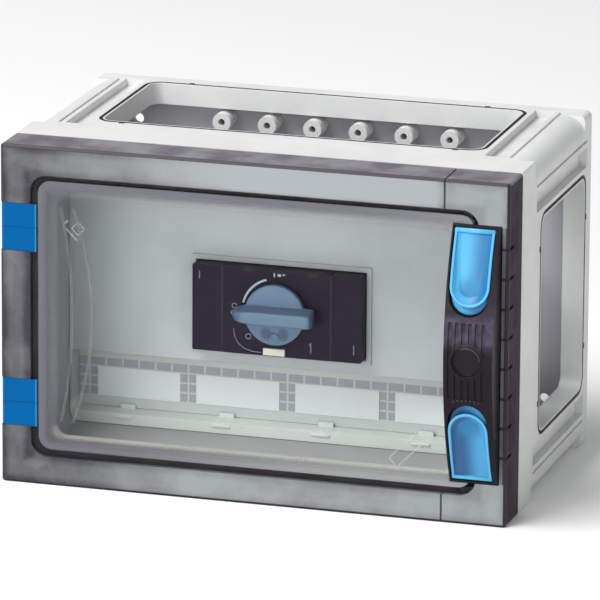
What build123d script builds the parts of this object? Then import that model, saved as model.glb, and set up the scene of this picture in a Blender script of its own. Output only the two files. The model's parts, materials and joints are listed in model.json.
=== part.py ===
from build123d import *
import os

# Enclosed rotary load-break switch. X to the right, Y into the wall, Z up, millimetres.
# The origin is the centre of the rear mounting face, so the front is at negative Y.

# Enclosure
BOX_W = 270.0
BOX_H = 180.0
WALL = 3.0
Y_BASE_FRONT = -138.0
Y_FLANGE_BACK = -113.5
Y_FOOT = -13.7
R_FLANGE = 1.0
R_EDGE = 10.8
R_FOOT = 3.0
R_INSIDE = 7.0

# Sealing collar that stands forward inside the door
SEAL_HALF_X = 116.9
SEAL_HALF_Z = 71.5
R_SEAL = 7.5
COLLAR_HALF_T = 1.3
Y_COLLAR = (-104.0, -151.8)
Y_LEDGE = (-104.0, -108.2)
LEDGE_T = 2.0

# Wall openings, sized on the centreline of their gaskets
OPEN_Y = -55.75
OPEN_HALF_Y = 45.25
OPEN_HALF_X = 103.5
OPEN_HALF_Z = 58.6
R_OPEN = 8.0
GASKET_HALF_T = 1.0
GASKET_DEPTH = 2.2
OPEN_LIP = 1.9
COLLAR_GROW = 2.7
COLLAR_DEPTH = 11.5
TAB_W = 3.0
TAB_OUT = 2.6
TAB_X = (89.5, 81.0)
TAB_Z = (41.0, 35.0)

# Coupling grooves beside every wall opening, by distance from the box edge
GROOVE = (17.5, 28.0)
GROOVE_DEPTH = 4.0
SLIT = (13.3, 14.8)
SLIT_DEPTH = 1.0
GROOVE_Y = (-9.0, -110.0)
PAD = (15.5, 30.0)
PAD_DEPTH = 6.5

# Bosses on the rear wall
BOSS_X = (12.5, 37.5, 62.5)
BOSS_Z = 72.0
BOSS_R = 5.0
BOSS_Y = -16.0
BOSS_HOLE_R = 1.8
BOSS_HOLE_DEPTH = 10.0
BOSS_RIB_T = 1.2
BOSS_RIB_Y = -8.0
RAIL_BOSS_X = 88.0
RAIL_BOSS_Z = 12.0
RAIL_BOSS_Y = -10.0
WALL_HOLE = (112.5, 67.5)
WALL_HOLE_R = 2.75

# Door
Y_DOOR_REAR = -138.6
Y_DOOR_FRONT = -163.0
Y_DOOR_INSIDE = -160.0
DOOR_R = 1.6
DOOR_BEVEL = 1.2
DOOR_INSIDE_R = 1.0
DOOR_REAR_CHAMFER = 1.0
Y_SEAL = (-152.0, -155.5)
SEAL_HALF_T = 1.1
FRONT_SEAL = (117.6, 73.2, 7.5)
FRONT_SEAL_HALF_T = 1.6
SEAM_X = 101.0
SEAM_W = 1.0
SEAM_DEPTH = 0.6

# Door hinge
HINGE_X = -131.5
HINGE_Y = -149.5
HINGE_Z = 46.6
ARM_HALF_H = 8.5
ARM_HALF_T = 3.0
PIN_R = 1.5
CLIP_HALF_H = 12.5
CLIP_X = (-134.8, -115.8)
CLIP_T = 1.6
CLIP_SIDE_X = -132.6
CLIP_SIDE_Y = -155.4
CHEEK_X = (-134.8, -128.4)
CHEEK_IN = 9.1
CHEEK_R = 3.2
FIT = 0.2
PRESS_FIT = 0.02
SCREW_FIT = 0.05
OVERRUN = 1.0

# Lock bar: an arched bar on the front of the door
BAR_X = (105.5, 131.0)
BAR_HALF_H = 67.7
BAR_PEAK_Y = -178.5
Y_RECESS = -159.0
Y_PAD = -155.5
BAR_BULGE = Y_DOOR_FRONT - BAR_PEAK_Y
BAR_R = (BAR_HALF_H**2 + BAR_BULGE**2) / (2 * BAR_BULGE)
BAR_Y = BAR_PEAK_Y + BAR_R
RIB_PITCH = 3.5
RIB_GAP = 1.7
RIB_DEPTH = 0.7
RIB_HALF_H = 20.0
RIB_COUNT = 6
PLUG_X = 117.3
PLUG_R = 7.6
PLUG_Y = (-162.0, -177.6)
PLUG_DISH_R = 6.8
PLUG_DISH_DEPTH = 0.5
PLUG_COLLAR = (9.8, 4.0, 0.4)

# Levers in the lock bar
LEVER_X = 117.4
LEVER_W = 21.0
LEVER_PIVOT_Z = 64.2
LEVER_PIVOT_Y = -162.44
LEVER_BARREL_R = 1.85
LEVER_END_Z = 38.2
LEVER_OUT = BAR_R - 0.3
LEVER_IN = BAR_R - 3.7
LEVER_POCKET = BAR_R - 4.6
LEVER_RIM = 2.2
LEVER_DISH = BAR_R - 2.7
LIP_SHIFT = 5.0
LIP_W = 19.6
LIP_OUT = BAR_R - 2.2
LEVER_GAP = 0.45
LEVER_PIN_R = 0.8
ARM_X = (121.5, 125.5)
ARM_Z = (62.6, 65.9)
ARM_TIP_Y = -136.8
ARM_ROOT = 1.2
POCKET_DEEP_Y = -150.0
LEVER_REACH = 5.0
POCKET_OPEN = 6.0
PIN_END = 1.0
SLOT_GAP = 0.5
SLOT_LOW_Z = 44.0
LATCH_LOW_Z = 55.8

# Protective cover and label tray
Y_COVER = (-108.3, -111.0)
COVER_GAP = 0.3
WINDOW = (92.0, 47.0)
WINDOW_LIP = 2.6
WINDOW_LIP_Y = -112.0
TRAY_HALF_X = 115.2
TRAY_Z = (-65.0, -30.2)
TRAY_T = 1.0
TRAY_Y = (-96.8, -98.0)
STRIP_T = 1.2
LABEL_W = 45.4
LABEL_H = 15.8
LABEL_Z = -50.5
LABEL_PITCH = 54.0
LABEL_T = 0.4
LABEL_COUNT = 4
NUB_X = -86.5
NUB = (8.0, 1.6, 2.4)

# Switch on its rail
NOSE_W = 91.0
NOSE_H = 46.0
MAIN_HALF_W = 29.2
BODY_HALF_H = 43.0
Y_BODY = (-56.0, -95.0)
Y_NOSE = -117.8
Y_FACE = -120.0
MODULE_GAP = 0.15
CAVITY_HALF_X = 26.0
CAVITY_HALF_Z = 27.0
Y_CAVITY = (-60.0, -92.0)
NOSE_CAVITY = (26.0, 19.0, -114.8)
POLE_PITCH = 13.0
POLE_COUNT = 4
NOSE_R = 0.8
MODULE_SETBACK = 0.4
MODULE_BORE = 20.0
POCKET_HALF_W = 4.5
POCKET_Z = 30.0
Y_POCKET = (-66.0, -88.0)
SCREW_ACCESS_R = 2.8
CLAMP_Z = (31.0, 40.5)
CLAMP_HALF_W = 4.2
CLAMP_Y = (-70.0, -84.5)
CLAMP_WIN = (2.7, -72.5, -81.5)
TERM_SCREW_R = 2.0
TERM_SCREW_Y = (-79.6, -92.0)
TERM_SLOT_HALF = (0.5, 2.0)
BLADE_HALF_W = 2.5
BLADE_Y = (-76.5, -78.5)
BLADE_Z = (16.5, 40.0)
TIP_Z = (16.5, 20.5)
TIP_Y = -78.8
BRIDGE_Y = (-84.0, -86.0)
BRIDGE_HALF_Z = 21.0
CARRIAGE = (24.0, 8.0, -86.0, -92.5)
CARRIAGE_LEG = 8.0
CARRIAGE_LEG_T = 1.5

# Rail, brackets, rail clip
RAIL_HALF_L = 100.0
RAIL_HALF_H = 17.5
RAIL_WEB_HALF_H = 12.5
RAIL_T = 1.0
Y_RAIL = (-47.5, -55.0)
BRACKET_HALF_W = 6.0
BRACKET_HALF_H = 21.0
BRACKET_T = 2.5
RAIL_SCREW = (2.4, 4.2, 2.4)
BRACKET_SCREW = (1.75, 3.4, 2.2)
RAIL_CLIP = (12.0, -44.8)
RAIL_CLIP_T = 0.8
RAIL_HOOK = 2.0
RAIL_CLIP_EYE = (4.0, 2.0, 6.0)
DRIVE_SLOT = (0.65, 0.4)

# Handle
SHAFT_R = 4.0
SHAFT_FIT = 0.06
Y_SHAFT_END = -95.0
CAM_R = 9.0
CAM_T = 3.0
DISC_R = 16.0
Y_DISC = (-120.4, -124.4)
GRIP_FRONT_Y = -134.0
GRIP_BASE = (-20.0, 21.5, 10.0)
GRIP_TOP = (-17.0, 21.0, 6.2)
NUB_Z = -12.6
NUB_R = 2.6
NUB_HOLE_R = 0.9
NUB_T = 1.6
HUB_R = 6.0
HUB_T = 0.3
TANG_R = 2.0
TANG_END = 2.0
GRIP_NOSE = (0.55, 0.8)
SLIDE_X = (-6.8, 4.8)
SLIDE_Z = (-22.4, -18.8)
SLIDE_Y = (-106.0, -121.0)

# Earth bar
EARTH_HALF_L = 46.0
EARTH_Y = (-16.0, -24.0)
EARTH_HALF_H = 4.0
EARTH_WIRE_R = 2.0
EARTH_SCREW_R = 1.6
EARTH_HEAD_R = 2.6
EARTH_WIRE_X = (-25.0, -12.5, 0.0, 12.5, 25.0)

os.makedirs("parts", exist_ok=True)


def middle(span):
    return (span[0] + span[1]) / 2


def block(x, y, z, mode=Mode.ADD):
    """Box from its three spans."""
    with Locations((middle(x), middle(y), middle(z))):
        Box(abs(x[1] - x[0]), abs(y[1] - y[0]), abs(z[1] - z[0]), mode=mode)


def slab(width, height, radius, y, mode=Mode.ADD):
    """Rounded plate facing the front, from rear y[0] to front y[1]."""
    with BuildSketch(Plane.XZ.offset(-y[0])) as profile:
        RectangleRounded(width, height, radius)
    extrude(profile.sketch, amount=y[0] - y[1], mode=mode)


def frame_ring(half_x, half_z, radius, half_t, y, mode=Mode.ADD):
    """Rounded frame facing the front, centred on a rectangle."""
    with BuildSketch(Plane.XZ.offset(-y[0])) as profile:
        RectangleRounded(2 * (half_x + half_t), 2 * (half_z + half_t), radius + half_t)
        RectangleRounded(2 * (half_x - half_t), 2 * (half_z - half_t), radius - half_t, mode=Mode.SUBTRACT)
    extrude(profile.sketch, amount=y[0] - y[1], mode=mode)


def rods_y(points, radius, y, mode=Mode.ADD):
    """Round bars along Y at (x, z) points, from rear y[0] to front y[1]."""
    with BuildSketch(Plane.XZ.offset(-y[0])) as profile:
        with Locations(*points):
            Circle(radius)
    extrude(profile.sketch, amount=y[0] - y[1], mode=mode)


def rods_z(points, radius, z, mode=Mode.ADD):
    """Round bars along Z at (x, y) points."""
    with BuildSketch(Plane.XY.offset(z[0])) as profile:
        with Locations(*points):
            Circle(radius)
    extrude(profile.sketch, amount=z[1] - z[0], mode=mode)


def rods_x(points, radius, x, mode=Mode.ADD):
    """Round bars along X at (y, z) points."""
    with BuildSketch(Plane.YZ.offset(x[0])) as profile:
        with Locations(*points):
            Circle(radius)
    extrude(profile.sketch, amount=x[1] - x[0], mode=mode)


def save(part, name):
    part.label = name
    export_step(part, f"parts/{name}.step")


# Each wall opening: sketch plane, inward direction, centre, half size, gasket tab points.
TOP_TABS = [(x, OPEN_Y - OPEN_HALF_Y - TAB_OUT / 2) for x in (-TAB_X[0], TAB_X[0])]
TOP_TABS += [(x, OPEN_Y + OPEN_HALF_Y + TAB_OUT / 2) for x in (-TAB_X[1], TAB_X[1])]
SIDE_TABS = [(OPEN_Y - OPEN_HALF_Y - TAB_OUT / 2, z) for z in (-TAB_Z[0], TAB_Z[0])]
SIDE_TABS += [(OPEN_Y + OPEN_HALF_Y + TAB_OUT / 2, z) for z in (-TAB_Z[1], TAB_Z[1])]
FLAT_HALF = (OPEN_HALF_X, OPEN_HALF_Y)
SIDE_HALF = (OPEN_HALF_Y, OPEN_HALF_Z)
WALLS = {
    "top": (Plane.XY.offset(BOX_H / 2), -1, (0, OPEN_Y), FLAT_HALF, TOP_TABS),
    "bottom": (Plane.XY.offset(-BOX_H / 2), 1, (0, OPEN_Y), FLAT_HALF, TOP_TABS),
    "right": (Plane.YZ.offset(BOX_W / 2), -1, (OPEN_Y, 0), SIDE_HALF, SIDE_TABS),
    "left": (Plane.YZ.offset(-BOX_W / 2), 1, (OPEN_Y, 0), SIDE_HALF, SIDE_TABS),
}


def wall_slab(wall, grow, depth, mode):
    """Rounded block inward from a wall face, grown from the gasket centreline."""
    plane, inward, centre, half, _ = wall
    with BuildSketch(plane) as profile:
        with Locations(centre):
            RectangleRounded(2 * (half[0] + grow), 2 * (half[1] + grow), R_OPEN + grow)
    extrude(profile.sketch, amount=inward * depth, mode=mode)


def gasket_ring(wall, mode):
    """Gasket with its locating tabs, or the channel that takes it."""
    plane, inward, centre, half, tabs = wall
    tab_size = (TAB_W, TAB_OUT) if centre[0] == 0 else (TAB_OUT, TAB_W)
    with BuildSketch(plane) as profile:
        with Locations(*tabs):
            Rectangle(*tab_size)
        with Locations(centre):
            outer = [2 * (h + GASKET_HALF_T) for h in half]
            inner = [2 * (h - GASKET_HALF_T) for h in half]
            RectangleRounded(*outer, R_OPEN + GASKET_HALF_T)
            RectangleRounded(*inner, R_OPEN - GASKET_HALF_T, mode=Mode.SUBTRACT)
    extrude(profile.sketch, amount=inward * GASKET_DEPTH, mode=mode)


def edge_blocks(edge, depth, y, mode):
    """The same strip beside both ends of all four walls, by distance from the edge."""
    half_w, half_h = BOX_W / 2, BOX_H / 2
    for sx in (-1, 1):
        for sz in (-1, 1):
            across_x = (sx * (half_w - edge[0]), sx * (half_w - edge[1]))
            across_z = (sz * (half_h - edge[0]), sz * (half_h - edge[1]))
            block(across_x, y, (sz * half_h, sz * (half_h - depth)), mode)
            block((sx * half_w, sx * (half_w - depth)), y, across_z, mode)


def boss_points():
    return [(sx * x, sz * BOSS_Z) for x in BOSS_X for sx in (-1, 1) for sz in (-1, 1)]


def rail_boss_points():
    return [(sx * RAIL_BOSS_X, sz * RAIL_BOSS_Z) for sx in (-1, 1) for sz in (-1, 1)]


# ---------------------------------------------------------------- enclosure
def make_base_box():
    with BuildPart() as base:
        slab(BOX_W, BOX_H, R_FLANGE, (Y_FLANGE_BACK, Y_BASE_FRONT))
        slab(BOX_W, BOX_H, R_EDGE, (0, Y_FLANGE_BACK))
        slab(BOX_W, BOX_H, R_FOOT, (0, Y_FOOT))
        inside = (-WALL, Y_BASE_FRONT + WALL)
        slab(BOX_W - 2 * WALL, BOX_H - 2 * WALL, R_INSIDE, inside, Mode.SUBTRACT)
        edge_blocks(PAD, PAD_DEPTH, (-WALL, Y_FLANGE_BACK), Mode.ADD)
        for wall in WALLS.values():
            wall_slab(wall, COLLAR_GROW, COLLAR_DEPTH, Mode.ADD)
        for wall in WALLS.values():
            wall_slab(wall, -OPEN_LIP, COLLAR_DEPTH + WALL, Mode.SUBTRACT)
            gasket_ring(wall, Mode.SUBTRACT)
        edge_blocks(GROOVE, GROOVE_DEPTH, GROOVE_Y, Mode.SUBTRACT)
        edge_blocks(SLIT, SLIT_DEPTH, GROOVE_Y, Mode.SUBTRACT)
        frame_ring(SEAL_HALF_X, SEAL_HALF_Z, R_SEAL, COLLAR_HALF_T, Y_COLLAR)
        inner_x = SEAL_HALF_X - COLLAR_HALF_T
        inner_z = SEAL_HALF_Z - COLLAR_HALF_T
        through = (Y_LEDGE[1], Y_BASE_FRONT - OVERRUN)
        slab(2 * inner_x, 2 * inner_z, R_SEAL - COLLAR_HALF_T, through, Mode.SUBTRACT)
        # Ledge that carries the protective cover, left open beside the label tray
        ledge_w = 2 * (inner_x - LEDGE_T)
        block((-ledge_w / 2, ledge_w / 2), Y_LEDGE, (inner_z - LEDGE_T, inner_z + OVERRUN))
        block((-ledge_w / 2, ledge_w / 2), Y_LEDGE, (-inner_z + LEDGE_T / 2, -inner_z - OVERRUN))
        for side in (-1, 1):
            block((side * (inner_x - LEDGE_T), side * (inner_x + OVERRUN)), Y_LEDGE, (0, inner_z + OVERRUN))
        # Bosses
        rods_y(boss_points(), BOSS_R, (-WALL, BOSS_Y))
        for side in (-1, 1):
            rib_x = side * BOSS_X[1]
            rib_span = (rib_x - BOSS_RIB_T / 2, rib_x + BOSS_RIB_T / 2)
            block(rib_span, (-WALL, BOSS_RIB_Y), (BOSS_Z, BOX_H / 2 - WALL))
        rods_y(boss_points(), BOSS_HOLE_R, (BOSS_Y + BOSS_HOLE_DEPTH, BOSS_Y), Mode.SUBTRACT)
        rods_y(rail_boss_points(), BOSS_R, (-WALL, RAIL_BOSS_Y))
        rods_y(rail_boss_points(), BOSS_HOLE_R, (-WALL, RAIL_BOSS_Y), Mode.SUBTRACT)
        holes = [(sx * WALL_HOLE[0], sz * WALL_HOLE[1]) for sx in (-1, 1) for sz in (-1, 1)]
        rods_y(holes, WALL_HOLE_R, (0, -WALL), Mode.SUBTRACT)
        # Hinge arms for the door
        for side in (-1, 1):
            z = (side * HINGE_Z - ARM_HALF_H, side * HINGE_Z + ARM_HALF_H)
            block((HINGE_X - ARM_HALF_T, HINGE_X + ARM_HALF_T), (Y_BASE_FRONT + OVERRUN, HINGE_Y), z)
            rods_z([(HINGE_X, HINGE_Y)], ARM_HALF_T, z)
            rods_z([(HINGE_X, HINGE_Y)], PIN_R + SHAFT_FIT, z, Mode.SUBTRACT)
        # Slots that take the latch arms
        for side in (-1, 1):
            slot_x = (ARM_X[0] - SLOT_GAP, ARM_X[1] + SLOT_GAP)
            slot_z = (side * LATCH_LOW_Z, side * (ARM_Z[1] + OVERRUN))
            block(slot_x, (Y_BASE_FRONT + WALL, Y_BASE_FRONT), slot_z, Mode.SUBTRACT)
    return base.part


def make_gasket(wall):
    with BuildPart() as gasket:
        gasket_ring(wall, Mode.ADD)
    return gasket.part


# ---------------------------------------------------------------- door
def clip_z(side, half):
    return (side * HINGE_Z - half, side * HINGE_Z + half)


def bar_pad(depth, mode=Mode.ADD):
    """Thick patch of the door under the lock bar."""
    half_z = BAR_HALF_H + WALL
    block((BAR_X[0] - WALL, BOX_W / 2 - WALL / 2), depth, (-half_z, half_z), mode)


def make_door_lid():
    with BuildPart() as door:
        slab(BOX_W, BOX_H, DOOR_R, (Y_DOOR_REAR, Y_DOOR_FRONT))
        chamfer(door.faces().sort_by(Axis.Y)[0].edges(), DOOR_BEVEL)
        hollow = (Y_DOOR_REAR + OVERRUN, Y_DOOR_INSIDE)
        slab(BOX_W - 2 * WALL, BOX_H - 2 * WALL, DOOR_INSIDE_R, hollow, Mode.SUBTRACT)
        # Thickened floor and recess for the lock bar
        bar_pad((Y_PAD, Y_DOOR_INSIDE))
        recess_x = (BAR_X[0] - FIT, BAR_X[1] + FIT)
        recess_z = (-BAR_HALF_H - FIT, BAR_HALF_H + FIT)
        block(recess_x, (Y_RECESS, Y_DOOR_FRONT), recess_z, Mode.SUBTRACT)
        for side in (-1, 1):
            # Slots for the latch arms, hinge notches and clip seats, seam lines
            slot_x = (ARM_X[0] - SLOT_GAP, ARM_X[1] + SLOT_GAP)
            slot_z = (side * SLOT_LOW_Z, side * (ARM_Z[1] + SLOT_GAP))
            block(slot_x, (Y_PAD, Y_RECESS), slot_z, Mode.SUBTRACT)
            seat_z = clip_z(side, CLIP_HALF_H + FIT)
            seat_y = Y_DOOR_FRONT + CLIP_T + FIT
            block((CLIP_X[0] - OVERRUN, CLIP_X[1] + FIT), (seat_y, Y_DOOR_FRONT), seat_z, Mode.SUBTRACT)
            block((CHEEK_X[0] - OVERRUN, CHEEK_X[1] + FIT), (Y_DOOR_REAR, seat_y), seat_z, Mode.SUBTRACT)
            seam_x = (SEAM_X - SEAM_W / 2, SEAM_X + SEAM_W / 2)
            seam_z = (side * (FRONT_SEAL[1] + FRONT_SEAL_HALF_T), side * BOX_H / 2)
            block(seam_x, (Y_DOOR_FRONT + SEAM_DEPTH, Y_DOOR_FRONT), seam_z, Mode.SUBTRACT)
            wall_z = (side * (BOX_H / 2 - SEAM_DEPTH), side * BOX_H / 2)
            block(seam_x, (Y_DOOR_REAR, Y_DOOR_FRONT), wall_z, Mode.SUBTRACT)
        rear = door.edges().filter_by(Axis.Z).group_by(Axis.X)[0]
        rear = rear.filter_by(lambda e: e.center().Y > Y_DOOR_REAR - 0.1)
        if rear:
            chamfer(rear, DOOR_REAR_CHAMFER)
    return door.part


def make_door_seal():
    with BuildPart() as seal:
        frame_ring(*FRONT_SEAL, FRONT_SEAL_HALF_T, (Y_SEAL[1], Y_DOOR_INSIDE))
        bar_pad((Y_SEAL[1], Y_DOOR_INSIDE), Mode.SUBTRACT)
        frame_ring(SEAL_HALF_X, SEAL_HALF_Z, R_SEAL, SEAL_HALF_T, Y_SEAL)
    return seal.part


def make_hinge_clip(side):
    z = clip_z(side, CLIP_HALF_H)
    y_plate = Y_DOOR_FRONT + CLIP_T
    with BuildPart() as clip:
        block(CLIP_X, (y_plate, Y_DOOR_FRONT), z)
        corner = clip.edges().filter_by(Axis.Z).sort_by(Axis.Y)[:2].sort_by(Axis.X)[0]
        chamfer(corner, CLIP_T * 0.98)
        block((CLIP_X[0], CLIP_SIDE_X), (CLIP_SIDE_Y, y_plate), z)
        for cheek in ((-CLIP_HALF_H, -CHEEK_IN), (CHEEK_IN, CLIP_HALF_H)):
            cheek_z = (side * HINGE_Z + cheek[0], side * HINGE_Z + cheek[1])
            block(CHEEK_X, (HINGE_Y, y_plate), cheek_z)
            rods_z([(HINGE_X, HINGE_Y)], CHEEK_R, cheek_z)
            round_y = (HINGE_Y - CHEEK_R, HINGE_Y + CHEEK_R)
            block((CHEEK_X[1], CHEEK_X[1] + OVERRUN), round_y, cheek_z, Mode.SUBTRACT)
            block((CHEEK_X[0] - OVERRUN, CHEEK_X[0]), round_y, cheek_z, Mode.SUBTRACT)
        rods_z([(HINGE_X, HINGE_Y)], PIN_R + PRESS_FIT, z, Mode.SUBTRACT)
    return clip.part


def make_hinge_pins():
    with BuildPart() as pins:
        for side in (-1, 1):
            rods_z([(HINGE_X, HINGE_Y)], PIN_R, clip_z(side, CLIP_HALF_H))
    return pins.part


# ---------------------------------------------------------------- lock bar and levers
def lever_outline(side, width, end_z, grow, y):
    """Outline of a lever: square at the pivot, round at the grip end."""
    half = width / 2 + grow
    with BuildSketch(Plane.XZ.offset(-y)) as outline:
        with Locations((LEVER_X, side * (LEVER_PIVOT_Z + end_z) / 2)):
            Rectangle(2 * half, LEVER_PIVOT_Z - end_z)
        with Locations((LEVER_X, side * end_z)):
            Circle(half)
    return outline.sketch


def arched_piece(side, width, end_z, grow, outer, inner):
    """A lever outline kept between two arcs of the bar's curve."""
    with BuildPart() as piece:
        outline = lever_outline(side, width, end_z, grow, POCKET_DEEP_Y)
        extrude(outline, amount=POCKET_DEEP_Y - BAR_PEAK_Y + LEVER_REACH)
        with BuildSketch(Plane.YZ.offset(BAR_X[0] - LEVER_REACH)):
            with Locations((BAR_Y, 0)):
                Circle(outer)
                Circle(inner, mode=Mode.SUBTRACT)
        extrude(amount=BAR_X[1] - BAR_X[0] + 2 * LEVER_REACH, mode=Mode.INTERSECT)
    return piece.part


def make_lever(side):
    rim = arched_piece(side, LEVER_W, LEVER_END_Z, 0, LEVER_OUT, LEVER_IN)
    lip = arched_piece(side, LIP_W, LEVER_END_Z - LIP_SHIFT, 0, LIP_OUT, LEVER_IN)
    dish = arched_piece(side, LEVER_W - 2 * LEVER_RIM, LEVER_END_Z, 0, BAR_R + LEVER_REACH, LEVER_DISH)
    pivot = (LEVER_PIVOT_Y, side * LEVER_PIVOT_Z)
    barrel_x = (LEVER_X - LEVER_W / 2, LEVER_X + LEVER_W / 2)
    with BuildPart() as lever:
        add(rim)
        add(lip)
        add(dish, mode=Mode.SUBTRACT)
        barrel_y = (LEVER_PIVOT_Y - LEVER_BARREL_R, LEVER_PIVOT_Y + LEVER_BARREL_R)
        block(barrel_x, barrel_y, (side * (LEVER_PIVOT_Z - LEVER_RIM), side * LEVER_PIVOT_Z))
        rods_x([pivot], LEVER_BARREL_R, barrel_x)
        block(ARM_X, (ARM_TIP_Y, LEVER_PIVOT_Y + ARM_ROOT), (side * ARM_Z[0], side * ARM_Z[1]))
        rods_x([pivot], LEVER_PIN_R + SHAFT_FIT, barrel_x, Mode.SUBTRACT)
    return lever.part


def make_lock_bar():
    pockets = []
    for side in (-1, 1):
        pockets.append(arched_piece(side, LEVER_W, LEVER_END_Z, LEVER_GAP, BAR_R + LEVER_REACH, LEVER_POCKET))
        lip_end = LEVER_END_Z - LIP_SHIFT
        pockets.append(arched_piece(side, LIP_W, lip_end, LEVER_GAP, BAR_R + LEVER_REACH, LEVER_POCKET))
    with BuildPart() as bar:
        with BuildSketch(Plane.YZ.offset(BAR_X[0])):
            with BuildLine():
                low = (Y_DOOR_FRONT, -BAR_HALF_H)
                high = (Y_DOOR_FRONT, BAR_HALF_H)
                ThreePointArc(low, (BAR_PEAK_Y, 0), high)
                Polyline(high, (Y_RECESS, BAR_HALF_H), (Y_RECESS, -BAR_HALF_H), low)
            make_face()
        extrude(amount=BAR_X[1] - BAR_X[0])
        # Fine vertical ribs between the levers
        for index in range(RIB_COUNT):
            rib_x = PLUG_X + (index - (RIB_COUNT - 1) / 2) * RIB_PITCH
            with BuildSketch(Plane.YZ.offset(rib_x - RIB_GAP / 2)):
                with Locations((BAR_PEAK_Y, 0)):
                    Rectangle(2 * BAR_BULGE, 2 * RIB_HALF_H)
                with Locations((BAR_Y, 0)):
                    Circle(BAR_R - RIB_DEPTH, mode=Mode.SUBTRACT)
            extrude(amount=RIB_GAP, mode=Mode.SUBTRACT)
        collar_r, rear, front = PLUG_COLLAR
        rods_y([(PLUG_X, 0)], collar_r, (BAR_PEAK_Y + rear, BAR_PEAK_Y + front))
        rods_y([(PLUG_X, 0)], PLUG_R + SCREW_FIT, (PLUG_Y[0], BAR_PEAK_Y), Mode.SUBTRACT)
        for pocket in pockets:
            add(pocket, mode=Mode.SUBTRACT)
        for side in (-1, 1):
            pivot = (LEVER_PIVOT_Y, side * LEVER_PIVOT_Z)
            half = LEVER_W / 2 + LEVER_GAP
            end_z = LEVER_PIVOT_Z + LEVER_BARREL_R + LEVER_GAP
            floor_y = LEVER_PIVOT_Y + LEVER_BARREL_R + LEVER_GAP
            open_z = (side * LEVER_PIVOT_Z, side * end_z)
            open_y = (floor_y, Y_DOOR_FRONT - POCKET_OPEN)
            block((LEVER_X - half, LEVER_X + half), open_y, open_z, Mode.SUBTRACT)
            slot_x = (ARM_X[0] - SLOT_GAP, ARM_X[1] + SLOT_GAP)
            slot_z = (side * SLOT_LOW_Z, side * (ARM_Z[1] + SLOT_GAP))
            block(slot_x, (Y_RECESS, LEVER_PIVOT_Y - POCKET_OPEN), slot_z, Mode.SUBTRACT)
            rods_x([pivot], LEVER_PIN_R + PRESS_FIT, (BAR_X[0], BAR_X[1] - PIN_END), Mode.SUBTRACT)
    return bar.part


def make_lever_pins():
    with BuildPart() as pins:
        for side in (-1, 1):
            pin_x = (BAR_X[0] + FIT / 2, BAR_X[1] - PIN_END - FIT / 2)
            rods_x([(LEVER_PIVOT_Y, side * LEVER_PIVOT_Z)], LEVER_PIN_R, pin_x)
    return pins.part


def make_lock_plug():
    with BuildPart() as plug:
        rods_y([(PLUG_X, 0)], PLUG_R, PLUG_Y)
        rods_y([(PLUG_X, 0)], PLUG_DISH_R, (PLUG_Y[1] + PLUG_DISH_DEPTH, PLUG_Y[1]), Mode.SUBTRACT)
    return plug.part


# ---------------------------------------------------------------- cover and labels
def make_protective_cover():
    plate_w = 2 * (SEAL_HALF_X - COLLAR_HALF_T - COVER_GAP)
    plate_h = 2 * (SEAL_HALF_Z - COLLAR_HALF_T - COVER_GAP)
    lip_half_t = WINDOW_LIP / 2
    tray_inner_x = TRAY_HALF_X - TRAY_T
    tray_inner_z = (TRAY_Z[0] + TRAY_T, TRAY_Z[1] - TRAY_T)
    with BuildPart() as cover:
        slab(plate_w, plate_h, R_SEAL - COLLAR_HALF_T - COVER_GAP, Y_COVER)
        slab(*[size + 2 * WINDOW_LIP for size in WINDOW], lip_half_t, (Y_COVER[1], WINDOW_LIP_Y))
        block((-TRAY_HALF_X, TRAY_HALF_X), (TRAY_Y[0], Y_COVER[0]), TRAY_Z)
        block((-tray_inner_x, tray_inner_x), (TRAY_Y[1], Y_COVER[1]), tray_inner_z, Mode.SUBTRACT)
        half_x, half_z = WINDOW[0] / 2, WINDOW[1] / 2
        block((-half_x, half_x), (Y_COVER[0], WINDOW_LIP_Y), (-half_z, half_z), Mode.SUBTRACT)
        # Nubs that hold the label strip in the tray
        nub_rear = TRAY_Y[1] - STRIP_T - LABEL_T - FIT
        nub_y = (nub_rear, nub_rear - NUB[1])
        for index in range(LABEL_COUNT):
            nub_x = NUB_X + index * LABEL_PITCH
            span = (nub_x - NUB[0] / 2, nub_x + NUB[0] / 2)
            block(span, nub_y, (tray_inner_z[1] - NUB[2], tray_inner_z[1]))
            block(span, nub_y, (tray_inner_z[0], tray_inner_z[0] + NUB[2]))
    return cover.part


def make_label_holder():
    half_x = TRAY_HALF_X - TRAY_T - FIT
    span_z = (TRAY_Z[0] + TRAY_T + FIT, TRAY_Z[1] - TRAY_T - FIT)
    with BuildPart() as holder:
        block((-half_x, half_x), (TRAY_Y[1], TRAY_Y[1] - STRIP_T), span_z)
    return holder.part


def make_label_inserts():
    rear = TRAY_Y[1] - STRIP_T
    with BuildPart() as labels:
        for index in range(LABEL_COUNT):
            x = (index - (LABEL_COUNT - 1) / 2) * LABEL_PITCH
            span_z = (LABEL_Z - LABEL_H / 2, LABEL_Z + LABEL_H / 2)
            block((x - LABEL_W / 2, x + LABEL_W / 2), (rear, rear - LABEL_T), span_z)
    return labels.part


# ---------------------------------------------------------------- switch
def pole_x():
    return [(index - (POLE_COUNT - 1) / 2) * POLE_PITCH for index in range(POLE_COUNT)]


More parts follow.
